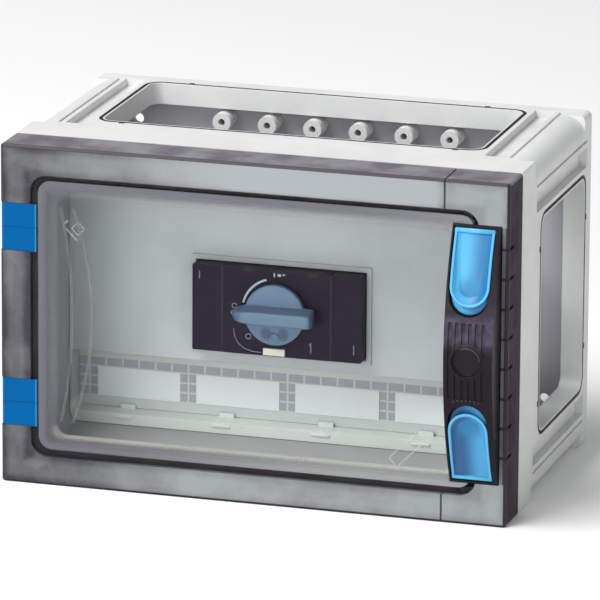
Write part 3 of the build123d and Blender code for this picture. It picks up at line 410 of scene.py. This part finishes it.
def door_face(g, face, outside, rim, ticks):
    """The face with the shade and notches beside the bar, the seam across the frame and the dark rim."""
    x, y, z = g.axes()
    beside = bar_side(g)
    strip = g.times(g.span(x, *STRIP_LEFT_X), g.fade(x, *STRIP_RIGHT_X))
    face = g.blend(g.times(beside, g.span(strip, 0.0, 1.0, 0.92, 0.35)), face, srgb(30, 22, 30))
    seam = g.fade(g.size(g.minus(x, SEAM_X)), *SEAM_WIDTH)
    face = g.blend(g.times(seam, outside, 0.8), face, srgb(42, 36, 44))
    face = g.blend(g.span(rim, *DARK_RIM), face, srgb(40, 33, 42))
    return g.blend(g.times(ticks, beside, 0.8), face, srgb(12, 8, 12))


def door_wall(g, ticks):
    """Dark side walls with notches, and paler top and bottom walls."""
    x, y, z = g.axes()
    patchy = g.span(g.noise(60, 3, 0.5), 0.3, 0.7)
    flank = g.blend(patchy, srgb(70, 60, 69), srgb(84, 75, 83))
    flank = g.blend(g.span(y, *FLANK_REAR_Y), flank, srgb(80, 73, 79))
    flank = g.blend(g.times(ticks, 0.9), flank, srgb(4, 2, 5))
    lid = g.blend(patchy, srgb(106, 102, 110), srgb(134, 132, 138))
    return g.blend(g.span(g.size(z), *LID_Z), flank, lid)


def smoky_panel():
    """Door plastic: clear inside the seal, frosted and smoky outside it, dark on the edges and side walls."""
    g = Graph("smoky_clear")
    x, y, z = g.axes()
    outside = g.span(beyond(g, *SEAL_OUTLINE), -0.0004, 0.0004)
    margin = beyond(g, *WINDOW_OUTLINE)
    near_seal = g.times(g.span(margin, *BORDER), g.fade(margin, *BORDER_END))
    rim = g.larger(g.minus(g.size(x), HALF_X), g.minus(g.size(z), HALF_Z))
    cloud = g.noise(120, 3, 0.55, 0.2)
    fine = g.noise(900, 2, 0.6)
    ticks = door_ticks(g)

    face = g.blend(outside, clear_tone(g, near_seal, cloud), frosted(g, rim, cloud, fine))
    face = door_face(g, face, outside, rim, ticks)
    front = g.fade(y, *FRONT_Y)
    walled = g.times(g.minus(1.0, front), g.span(rim, *WALL_RIM))
    g.set("Base Color", g.blend(walled, face, door_wall(g, ticks)))

    clear_alpha = g.span(x, *CLEAR_X, 0.10, 0.035)
    seal_alpha = g.span(g.math("POWER", near_seal, 1.6), 0.0, 1.0, clear_alpha, 0.86)
    g.set("Alpha", g.choose(walled, g.choose(outside, seal_alpha, 0.95), 1.0))
    g.set("Roughness", g.choose(outside, 0.08, 0.42))
    g.set("Specular IOR Level", g.choose(walled, g.choose(outside, 0.5, 0.3), 0.0))
    g.relief(g.times(g.plus(cloud, g.times(fine, 0.3)), outside), 0.00012, 0.5)
    return g.mat


def window_bead():
    """Bead of the door window, with a painted highlight along the bottom that stands in for the gloss of its
    slope, so that it shows against what is behind it.
    """
    g = Graph("window_bead")
    cloud = g.noise(14, 2, 0.5)
    g.set("Base Color", g.blend(cloud, srgb(176, 174, 164), srgb(214, 212, 200)))
    # painted highlight: the bead turns paler and more opaque along the bottom
    low = g.fade(g.axes()[2], -0.062, -0.056)
    g.set("Alpha", g.times(g.span(cloud, 0.3, 0.7, 0.85, 1.0), g.span(low, 0.0, 1.0, 0.08, 0.46)))
    g.set("Roughness", 0.22)
    g.relief(g.noise(300, 2), 0.00002, 0.4)
    return g.mat


def faint_line(name, low, high, alpha):
    """Thin raised line in clear plastic."""
    g = Graph(name)
    cloud = g.noise(90, 3, 0.55)
    g.set("Base Color", g.blend(cloud, low, high))
    g.set("Alpha", g.span(cloud, 0.3, 0.7, alpha * 0.8, alpha))
    g.set("Roughness", 0.3)
    return g.mat


def squared_strip():
    """Label strip with a grid of small squares."""
    g = Graph("label_strip")
    x, y, z = g.axes()
    rise = g.minus(z, SQUARES_START_Z)
    rows = g.over(rise, SQUARE_PITCH_Z)
    inside = g.times(g.span(rows, -0.05, 0.0), g.fade(rows, SQUARE_ROWS, SQUARE_ROWS + 0.05))
    upright = g.fade(g.off_line(x, SQUARE_PITCH_X), 0.045, 0.075)
    level = g.fade(g.off_line(rise, SQUARE_PITCH_Z), 0.07, 0.12)
    ink = g.times(inside, g.minus(1.0, g.larger(upright, level)))
    cloud = g.noise(45, 3, 0.6)
    square = g.blend(cloud, srgb(164, 165, 174), srgb(178, 179, 188))
    g.set("Base Color", g.blend(ink, srgb(206, 210, 208), square))
    g.set("Roughness", g.span(cloud, 0.3, 0.7, 0.48, 0.6))
    g.relief(g.plus(ink, g.times(g.noise(1500, 2), 0.1)), 0.00012, 0.6)
    return g.mat


# ------------------------------------------------------------ the object's materials
MARK_PALE = plastic("mark_pale", srgb(186, 206, 206), 0.5, 0.03)
MARK_DIM = plastic("mark_dim", srgb(136, 146, 158), 0.5, 0.05)
MARK_BLACK = plastic("mark_black", srgb(14, 10, 16), 0.5, 0.1)
BAR_PALE = plastic("bar_pale", srgb(84, 78, 88), 0.4, 0.1, grain=0.0, shine=0.3)
WINDOW_BEAD = window_bead()
LINE_DIM = faint_line("window_line_dim", srgb(128, 130, 136), srgb(150, 152, 156), 0.20)
LINE_CLEAR = faint_line("window_line", srgb(184, 188, 192), srgb(216, 218, 220), 0.38)

MATERIALS = {
    "housing_grey": plastic("housing_grey", srgb(216, 217, 216), 0.48, tint=box_shade_tint),
    "cover_grey": plastic("cover_grey", srgb(190, 195, 198), 0.5, grain=0.0, tint=cover_tint),
    "black_seal": rubber("black_seal", srgb(26, 20, 26)),
    "label_strip": squared_strip(),
    "label_white": plastic("label_white", srgb(232, 238, 238), 0.6, 0.02),
    "switch_grey": plastic("switch_grey", srgb(26, 15, 40), 0.5, grain=0.0, shine=0.2),
    "switch_dark": plastic("switch_dark", srgb(26, 15, 38), 0.45, grain=0.0, shine=0.2),
    "contact_brass": metal("contact_brass", (0.72, 0.55, 0.30)),
    "zinc_steel": metal("zinc_steel", (0.62, 0.63, 0.65)),
    "black_plastic": plastic(
        "black_plastic", srgb(22, 13, 23), 0.36, 0.12, grain=0.00001, shine=0.16, tint=bar_highlight_tint),
    "smoky_clear": smoky_panel(),
    "clip_blue": plastic("clip_blue", srgb(0, 84, 142), 0.5, grain=0.0, shine=0.04, tint=clip_tint),
    "lever_blue": plastic(
        "lever_blue", srgb(44, 128, 177), 0.38, 0.03, grain=0.0, shine=0.35, tint=lever_shading_tint),
    "knob_blue_grey": plastic(
        "knob_blue_grey", srgb(104, 130, 156), 0.46, grain=0.0, shine=0.35, tint=knob_tint),
    "tab_cream": plastic("tab_cream", srgb(222, 222, 204), 0.5),
}

for entry in frame["record"]["subparts"]:
    node_mesh = frame["nodes"][entry["node"]].data
    node_mesh.materials.clear()
    node_mesh.materials.append(MATERIALS[entry["material_slot"]])


# ------------------------------------------------------------ mesh helpers
def body_of(node):
    return next(body for body, nodes in frame["record"]["behaviour"]["bodies"].items() if node in nodes)


def piece(name, verts, faces, slot, body, replaces=(), smooth=True, material=None):
    """A visible mesh that rides on a body, in a slot's material or in one of its own."""
    mesh = bpy.data.meshes.new(name)
    mesh.from_pydata([tuple(v) for v in verts], [], faces)
    work = bmesh.new()
    work.from_mesh(mesh)
    bmesh.ops.remove_doubles(work, verts=work.verts, dist=1e-6)
    bmesh.ops.recalc_face_normals(work, faces=work.faces)
    work.to_mesh(mesh)
    work.free()
    for face in mesh.polygons:
        face.use_smooth = smooth
    made = bpy.data.objects.new(name, mesh)
    bpy.context.collection.objects.link(made)
    mesh.materials.append(material or MATERIALS[slot])
    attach(made, body)
    if replaces:
        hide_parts(*replaces)
    return made


def soften(made, width):
    """Bevel on the edges that turn by more than 35 degrees."""
    bevel = made.modifiers.new("edges", "BEVEL")
    bevel.width = width
    bevel.segments = 2
    bevel.limit_method = "ANGLE"
    bevel.angle_limit = math.radians(35)


def mix(a, b, share):
    return a + (b - a) * share


def circle(radius, y, steps, centre_z=0.0):
    """Points of a circle that faces along Y."""
    turns = [2 * math.pi * k / steps for k in range(steps)]
    return [(radius * math.cos(t), y, centre_z + radius * math.sin(t)) for t in turns]


def arc_path(radius, start, end, steps=24, centre=(0, 0)):
    turns = [math.radians(start + (end - start) * i / steps) for i in range(steps + 1)]
    return [(centre[0] + radius * math.cos(t), centre[1] + radius * math.sin(t)) for t in turns]


def rounded(half_x, half_z, radius, y, steps=8):
    """Points of a rounded rectangle that faces along Y."""
    ring = []
    for side, top, start in ((1, 1, 0), (-1, 1, 90), (-1, -1, 180), (1, -1, 270)):
        corner = (side * (half_x - radius), top * (half_z - radius))
        ring += [(px, y, pz) for px, pz in arc_path(radius, start, start + 90, steps, corner)]
    return ring


class Shape:
    """Vertices and faces gathered from several simple solids, given in millimetres."""

    def __init__(self):
        self.verts, self.faces = [], []

    def loft(self, rings, cap=(True, True)):
        start = len(self.verts)
        count = len(rings[0])
        last = start + (len(rings) - 1) * count
        for ring in rings:
            self.verts += [Vector(p) * MM for p in ring]
        for i in range(len(rings) - 1):
            for j in range(count):
                a, b = start + i * count + j, start + i * count + (j + 1) % count
                self.faces.append((a, b, b + count, a + count))
        if cap[0]:
            self.faces.append(tuple(range(start, start + count))[::-1])
        if cap[1]:
            self.faces.append(tuple(range(last, last + count)))

    def hoop(self, rings):
        """A loft whose last ring joins its first, as round a picture frame. It starts a new shape."""
        self.loft(rings, cap=(False, False))
        count = len(rings[0])
        last = (len(rings) - 1) * count
        for j in range(count):
            k = (j + 1) % count
            self.faces.append((last + j, last + k, k, j))

    def block(self, x, y, z):
        corner = [(x[0], z[0]), (x[1], z[0]), (x[1], z[1]), (x[0], z[1])]
        self.loft([[(px, level, pz) for px, pz in corner] for level in y])

    def rod(self, centre, axis, radius, length, count=32):
        """A cylinder from centre along an axis 0, 1 or 2."""
        others = [i for i in range(3) if i != axis]
        rings = []
        for along in (0, length):
            ring = []
            for k in range(count):
                turn = 2 * math.pi * k / count
                p = list(centre)
                p[axis] += along
                p[others[0]] += radius * math.cos(turn)
                p[others[1]] += radius * math.sin(turn)
                ring.append(p)
            rings.append(ring)
        self.loft(rings)

    def strip(self, path, width, y):
        """A thin flat ribbon of constant width along X-Z points, from level y[0] to y[1]."""
        left, right = [], []
        for i, p in enumerate(path):
            q, r = path[max(i - 1, 0)], path[min(i + 1, len(path) - 1)]
            run = Vector((r[0] - q[0], r[1] - q[1])).normalized() * width / 2
            left.append((p[0] - run.y, p[1] + run.x))
            right.append((p[0] + run.y, p[1] - run.x))
        ring = left + right[::-1]
        self.loft([[(a, level, b) for a, b in ring] for level in y])

    def make(self, name, slot, body, **options):
        return piece(name, self.verts, self.faces, slot, body, **options)


# ------------------------------------------------------------ levers: dished, with a second lip at the grip
LEVER_BACK = 3.7
RIM_INSET, RIM_DEPTH = 1.4, 0.12
STRAIGHT_STEPS, ROUND_STEPS = 12, 24
LIP_PLACE = {"shift": 5.0, "half": 9.8, "flat_z": 60.0}
LIP_PROFILE = ((0, LEVER_BACK), (0, 2.9), (0.15, 2.4), (0.6, 2.15), (2.2, 2.1), (4.0, 2.6), (7.0, 3.3))
PIVOT_Y, PIVOT_Z, PIVOT_RADIUS = -162.44, 64.2, 1.82
ARM_X, ARM_Y, ARM_Z = (121.5, 125.5), (-162.0, -136.9), (62.7, 65.8)


def arched(x, z, depth):
    """A point at a depth under the lever face, which follows the lock bar's curve."""
    radius = LEVER_TOP - depth
    return (x, BAR_CENTRE_Y - math.sqrt(radius * radius - z * z), z)


def way_along(z):
    """Way along the lever, 0 at the pivot and 1 at the grip's tip."""
    return min(1.0, max(0.0, (LEVER_FLAT_Z - z) / LEVER_LENGTH))


def wall_width(way):
    return 1.5 + 3.4 * way ** 1.4


def floor_depth(way):
    return 0.75 + 2.7 * way ** 1.2


def lever_ring(inset, depth, flat_inset=None, shift=0.0, half=LEVER_HALF, flat_z=LEVER_FLAT_Z):
    """Outline of a lever, square at the pivot and round at the grip.

    inset and depth are functions of the way along the lever."""
    flat = flat_z - (inset(0) if flat_inset is None else flat_inset)
    centre = LEVER_ROUND_Z - shift
    straight = []
    for i in range(STRAIGHT_STEPS + 1):
        z = mix(flat, centre, i / STRAIGHT_STEPS)
        straight.append((half - inset(way_along(z)), z))
    grip = []
    for i in range(1, ROUND_STEPS):
        turn = math.pi * i / ROUND_STEPS
        radius = half - inset(way_along(centre - half * math.sin(turn)))
        grip.append((radius * math.cos(turn), centre - radius * math.sin(turn)))
    outline = straight + grip + [(-x, z) for x, z in reversed(straight)]
    return [arched(LEVER_X + x, z, depth(way_along(z))) for x, z in outline]


def even_ring(inset, depth, **more):
    """A lever outline with one inset and one depth all the way."""
    return lever_ring(lambda way: inset, lambda way: depth, **more)


def dish_rings():
    """Rings from the rim down the dish's wall, then in over its floor."""
    rings = []
    for share in (0.15, 0.5, 0.85, 1.0):
        rings.append(lever_ring(
            lambda way: mix(RIM_INSET, wall_width(way), share),
            lambda way: mix(RIM_DEPTH, floor_depth(way), share ** 0.8),
            flat_inset=1.1 + 0.3 * share))
    for share in (0.3, 0.6, 0.85, 0.999):
        rings.append(lever_ring(
            lambda way: mix(wall_width(way), LEVER_HALF, share),
            lambda way: floor_depth(way) + 0.25 * share,
            flat_inset=1.4 + 0.4 * share))
    return rings


def lever(name, side):
    """side is 1 for the upper lever, and -1 for the lower one, which is its mirror image."""
    shape = Shape()
    edge = [even_ring(0, LEVER_BACK), even_ring(0, 0.45), even_ring(0.12, 0.12), even_ring(0.45, 0.0)]
    rim = [even_ring(1.0, 0.0, flat_inset=0.85), even_ring(RIM_INSET, RIM_DEPTH, flat_inset=1.1)]
    shape.loft(edge + rim + dish_rings(), cap=(True, False))
    shape.loft([even_ring(inset, depth, **LIP_PLACE) for inset, depth in LIP_PROFILE])
    shape.rod((LEVER_X - LEVER_HALF, PIVOT_Y, PIVOT_Z), 0, PIVOT_RADIUS, 2 * LEVER_HALF)
    shape.block(ARM_X, ARM_Y, ARM_Z)
    for vert in shape.verts:
        vert.z *= side
    shape.make(name + "_dished", "lever_blue", body_of(name), replaces=(name,))


# ------------------------------------------------------------ handle: domed disc with a hollow, and a grip
DISC_REAR, DISC_FACE, DISC_RADIUS = -120.45, -124.4, 16.0
DISC_SIDE = (
    (15.6, DISC_REAR), (DISC_RADIUS, DISC_REAR - 0.6),
    (DISC_RADIUS, DISC_FACE + 0.5), (15.8, DISC_FACE + 0.12),
)
DISC_DOME = ((15.3, DISC_FACE), (12.0, DISC_FACE - 0.15), (8.0, DISC_FACE - 0.25), (3.0, DISC_FACE - 0.3))
HOLLOW_X, HOLLOW_Z, HOLLOW_DEPTH = 0.5, -9.5, 1.3
NUB_Z = -12.6
NUB = ((3.3, 1.6), (3.1, 0.2), (2.7, -0.05), (1.3, -0.05), (1.0, 0.9))
# Along the grip: X, half width at the foot, half width at the crest, and the crest's Y.
GRIP = (
    (-21.3, 1.0, 0.5, -126.9), (-21.0, 1.9, 1.0, -128.3), (-20.2, 2.8, 1.6, -130.2),
    (-18.5, 3.8, 2.3, -131.9), (-15.5, 4.6, 2.8, -133.1), (-11, 5.0, 3.1, -133.8),
    (-4, 5.1, 3.2, -134.0), (8, 5.1, 3.2, -134.0),
    (15.5, 5.1, 3.2, -134.0), (18.4, 5.1, 3.2, -134.0), (19.6, 5.1, 3.2, -134.0),
    (20.8, 5.0, 3.1, -133.7), (21.4, 4.7, 2.8, -133.2),
)


def hollowed(ring):
    """The ring, pressed in where the disc has its round hollow."""
    pressed = []
    for x, y, z in ring:
        far = ((x - HOLLOW_X) / 6.5) ** 2 + ((z - HOLLOW_Z) / 4.2) ** 2
        pressed.append((x, y + HOLLOW_DEPTH * math.exp(-1.4 * far), z))
    return pressed


def grip_section(x, foot, crest, top):
    """Closed section across the grip. Past the disc its base stands clear of the padlock slide."""
    base = DISC_FACE + (0.8 if abs(x) < DISC_RADIUS else 0.12)
    half = (
        (foot, 0.0), (foot, 0.08), (mix(foot, crest, 0.35), 0.4), (crest + 0.45, 0.80),
        (crest + 0.15, 0.92), (crest - 0.35, 0.985), (crest - 0.9, 1.0),
    )
    profile = [(x, mix(base, top, share), wide) for wide, share in half]
    return profile + [(px, py, -pz) for px, py, pz in reversed(profile)]


def handle():
    shape = Shape()
    side = [circle(radius, y, 72) for radius, y in DISC_SIDE]
    dome = [hollowed(circle(radius, y, 72)) for radius, y in DISC_DOME]
    shape.loft(side + dome)
    shape.loft([circle(radius, DISC_FACE + rise, 24, NUB_Z) for radius, rise in NUB])
    shape.loft([grip_section(*section) for section in GRIP])
    shape.make("handle_knob_turned", "knob_blue_grey", "handle", replaces=("handle_knob",))


# ------------------------------------------------------------ switch front marks
MARK = (FACE_Y + 0.02, FACE_Y - 0.10)
MODULE_SEAM_X = 29.2
PLATE_HALF_Z = 22.9


def pale_marks():
    """Arc beside the knob and short lines over it."""
    pale = Shape()
    pale.strip(arc_path(18.4, 166, 107), 1.1, MARK)
    pale.strip([(3.2, 20.9), (4.6, 20.9)], 0.7, MARK)
    pale.strip([(-1.2, 21.6), (-1.2, 19.4)], 0.7, MARK)
    pale.strip([(0.6, 20.5), (2.4, 20.5)], 1.3, MARK)
    pale.make("switch_marks_pale", "label_white", "enclosure", smooth=False, material=MARK_PALE)


def fine_marks():
    """Small rings, a fine curve and short strokes."""
    fine = Shape()
    for x, z, radius in ((-22.6, 2.4, 1.3), (-23.4, -1.3, 1.0), (-15.0, -13.4, 1.4)):
        fine.strip(arc_path(radius, 0, 350, 20, (x, z)), 0.45, MARK)
    curve = [(-22.9, -9.8), (-22.6, -13.5), (-20.8, -17.2), (-17.4, -19.9), (-13.0, -21.2), (-8.0, -21.5)]
    fine.strip(curve, 0.35, MARK)
    fine.strip([(18.6, -14.0), (18.6, -19.6)], 0.6, MARK)
    fine.strip([(18.6, -14.0), (17.6, -15.6)], 0.5, MARK)
    fine.strip([(-41.5, 19.5), (-41.5, 15.4)], 0.5, MARK)
    fine.strip([(41.6, -13.5), (41.6, -18.6)], 0.5, MARK)
    fine.make("switch_marks_fine", "label_white", "enclosure", smooth=False, material=MARK_DIM)


def notches():
    """Dark notches at the plate's top edge and the lines between the switch and its side modules."""
    dark = Shape()
    for x in ((-17.0, -12.6), (16.6, 22.4)):
        dark.block(x, (FACE_Y + 0.05, FACE_Y - 0.06), (21.0, 22.95))
    for x in (-MODULE_SEAM_X, MODULE_SEAM_X):
        dark.block((x - 0.5, x + 0.5), (FACE_Y + 0.5, FACE_Y - 0.02), (-PLATE_HALF_Z, PLATE_HALF_Z))
    dark.make("switch_notches", "switch_dark", "enclosure", smooth=False, material=MARK_BLACK)


# ------------------------------------------------------------ label strip furniture
LABEL_COUNT, LABEL_PITCH, FIRST_TAB_X = 4, 54, -86.5
LEDGE_Y, LEDGE_Z = (-110.9, -111.7), (-66.6, -65.1)


def strip_details():
    """Over each label a small tab between two slots, and on the ledge below it a low mound."""
    tabs, slots, mounds = Shape(), Shape(), Shape()
    face, top = STRIP_LOW[1], STRIP_HIGH[2]
    for k in range(LABEL_COUNT):
        x = FIRST_TAB_X + LABEL_PITCH * k
        tabs.block((x - 3.4, x + 3.4), (face + 0.1, face - 1.2), (top - 2.4, top - 0.3))
        for slot_x in (x - 4.4, x + 4.4):
            slots.block((slot_x - 0.8, slot_x + 0.8), (face + 0.1, face - 0.3), (top - 2.5, top - 0.9))
        mounds.block((x - 5.0, x + 5.0), LEDGE_Y, LEDGE_Z)
    soften(tabs.make("strip_tabs", "label_white", "enclosure"), 0.3 * MM)
    slots.make("strip_slots", "black_seal", "enclosure", smooth=False)
    soften(mounds.make("strip_mounds", "cover_grey", "enclosure"), 0.3 * MM)


# ------------------------------------------------------------ door details
BEAD_REAR = -159.95
# Round the window: half width, half height, corner radius, and rise from the panel's rear face.
BEAD = (
    (111.4, 68.4, 8.0, 0.0), (110.6, 67.6, 7.6, 0.7), (108.2, 65.4, 6.6, 1.5),
    (105.8, 63.4, 5.6, 0.9), (105.2, 62.9, 5.3, 0.0),
)
LINE_LEVEL = (-159.98, -159.96)
BOW_HALF_Z, BOW_MID_Z, BOW_STEPS = 57.0, 1.0, 24


def window_moulding():
    """Sloped bead moulded on the inside of the door window."""
    shape = Shape()
    shape.hoop([rounded(half_x, half_z, radius, BEAD_REAR + rise) for half_x, half_z, radius, rise in BEAD])
    shape.make("window_moulding", "smoky_clear", "door", material=WINDOW_BEAD)


def window_bows():
    """Two bowed lines down the left of the window."""
    shape = Shape()
    for end_x, bulge in ((-103.6, 6.2), (-97.0, 10.2)):
        ways = [-1 + 2 * i / BOW_STEPS for i in range(BOW_STEPS + 1)]
        path = [(end_x + bulge * (1 - way * way), BOW_MID_Z + BOW_HALF_Z * way) for way in ways]
        shape.strip(path, 1.6, LINE_LEVEL)
    shape.make("window_bows", "smoky_clear", "door", smooth=False, material=LINE_DIM)


def slanted_sides(centre, length, width):
    """The four sides of a rectangle turned by 45 degrees."""
    u, v = length / 2, width / 2
    sides = []
    for side in (-1, 1):
        sides += [((-u, side * v), (u, side * v)), ((side * u, -v), (side * u, v))]
    turn = math.sqrt(0.5)
    return [[(centre[0] + (a - b) * turn, centre[1] + (a + b) * turn) for a, b in line] for line in sides]


def window_outlines():
    """Slanted moulded outlines in two corners of the window."""
    shape = Shape()
    for line in slanted_sides((-94.0, 47.5), 5.0, 5.0) + slanted_sides((82.0, -54.0), 21.0, 6.0):
        shape.strip(line, 0.6, LINE_LEVEL)
    shape.strip([(-100.5, 47.0), (-94.5, 41.0)], 0.8, LINE_LEVEL)
    shape.strip([(-101.5, 49.5), (-99.5, 51.5)], 0.8, LINE_LEVEL)
    shape.make("window_outlines", "smoky_clear", "door", smooth=False, material=LINE_CLEAR)


# ------------------------------------------------------------ lock bar details
DOT_COUNT, DOT_PITCH, DOT_ROW_Z = 7, 2.2, 20.4
PLUG_FACE, PLUG_RIM = (-178.1, -178.35), (7.0, 7.35)


def bar_dots():
    """A slightly curved row of dots over the upper ribs and its mirror image under the lower ones."""
    shape = Shape()
    for side in (-1, 1):
        for k in range(DOT_COUNT):
            off = k - DOT_COUNT // 2
            z = side * (DOT_ROW_Z + 0.10 * off ** 2)
            y = BAR_CENTRE_Y - math.sqrt(BAR_RADIUS ** 2 - z * z)
            shape.rod((BAR_X + DOT_PITCH * off, y - 0.12, z), 1, 0.32, 0.4, 12)
    shape.make("bar_dots", "black_plastic", body_of("lock_bar"), smooth=False, material=BAR_PALE)


def plug_rim_highlight():
    """Painted highlight: a bright arc round the upper edge of the bar's plug, where it catches the light."""
    shape = Shape()
    outer = [math.radians(t) for t in range(10, 116, 3)]
    inner = [math.radians(t) for t in range(115, 9, -3)]
    rings = []
    for y in PLUG_FACE:
        ring = []
        for radius, turns in ((PLUG_RIM[1], outer), (PLUG_RIM[0], inner)):
            ring += [(BAR_X + radius * math.cos(t), y, radius * math.sin(t)) for t in turns]
        rings.append(ring)
    shape.loft(rings)
    shape.make("plug_rim_highlight", "black_plastic", body_of("lock_bar"), smooth=False, material=BAR_PALE)


lever("lever_upper", 1)
lever("lever_lower", -1)
handle()
pale_marks()
fine_marks()
notches()
strip_details()
window_moulding()
window_bows()
window_outlines()
bar_dots()
plug_rim_highlight()


# ------------------------------------------------------------ stage, lights, camera
FLOOR_SIZE = 12.0
AZIMUTH, ELEVATION, ROLL = math.radians(16.7), math.radians(15.4), math.radians(0.39)
AIM = Vector((0, -0.09, 0))
DISTANCE, SHIFT_RIGHT, SHIFT_UP = 3.63, 0.0035, -0.0005


def floor():
    mesh = bpy.data.meshes.new("floor")
    size, z = FLOOR_SIZE, cad_box[0][2]
    corners = [(-size, -size, z), (size, -size, z), (size, size, z), (-size, size, z)]
    mesh.from_pydata(corners, [], [(0, 1, 2, 3)])
    plane = bpy.data.objects.new("floor", mesh)
    bpy.context.collection.objects.link(plane)
    g = Graph("floor")
    g.set("Base Color", g.blend(g.noise(3, 2), (0.93, 0.93, 0.93), (0.95, 0.95, 0.95)))
    g.set("Roughness", 0.8)
    mesh.materials.append(g.mat)


def lamp(name, place, aim, size, power):
    data = bpy.data.lights.new(name, "AREA")
    data.shape = "SQUARE"
    data.size = size
    data.energy = power
    lamp_object = bpy.data.objects.new(name, data)
    bpy.context.collection.objects.link(lamp_object)
    lamp_object.location = place
    lamp_object.rotation_mode = "QUATERNION"
    lamp_object.rotation_quaternion = (Vector(aim) - Vector(place)).to_track_quat("-Z", "Y")


def camera():
    across = math.cos(ELEVATION)
    back = Vector((math.sin(AZIMUTH) * across, -math.cos(AZIMUTH) * across, math.sin(ELEVATION)))
    right = Vector((math.cos(AZIMUTH), math.sin(AZIMUTH), 0))
    up = back.cross(right)
    side = math.cos(ROLL) * right + math.sin(ROLL) * up
    top = math.cos(ROLL) * up - math.sin(ROLL) * right
    place = AIM + DISTANCE * back + SHIFT_RIGHT * right + SHIFT_UP * up
    data = bpy.data.cameras.new("camera")
    data.sensor_width = 36.0
    data.lens = 420.0
    data.clip_start, data.clip_end = 0.1, 60.0
    view = bpy.data.objects.new("camera", data)
    bpy.context.collection.objects.link(view)
    view.matrix_world = Matrix.Translation(place) @ Matrix((side, top, back)).transposed().to_4x4()
    bpy.context.scene.camera = view


world = bpy.data.worlds.new("world")
world.use_nodes = True
world.node_tree.nodes["Background"].inputs[0].default_value = (0.98, 0.99, 1.0, 1.0)
world.node_tree.nodes["Background"].inputs[1].default_value = 0.32
bpy.context.scene.world = world
bpy.context.scene.view_settings.view_transform = "Standard"
lamp("key", (-1.3, -1.5, 2.9), (0, -0.05, 0), 2.2, 140)
lamp("front", (-0.7, -3.4, 0.5), (0, -0.08, 0), 1.8, 42)
lamp("fill", (2.6, -2.2, 1.0), (0, -0.08, 0), 1.4, 14)
floor()
camera()
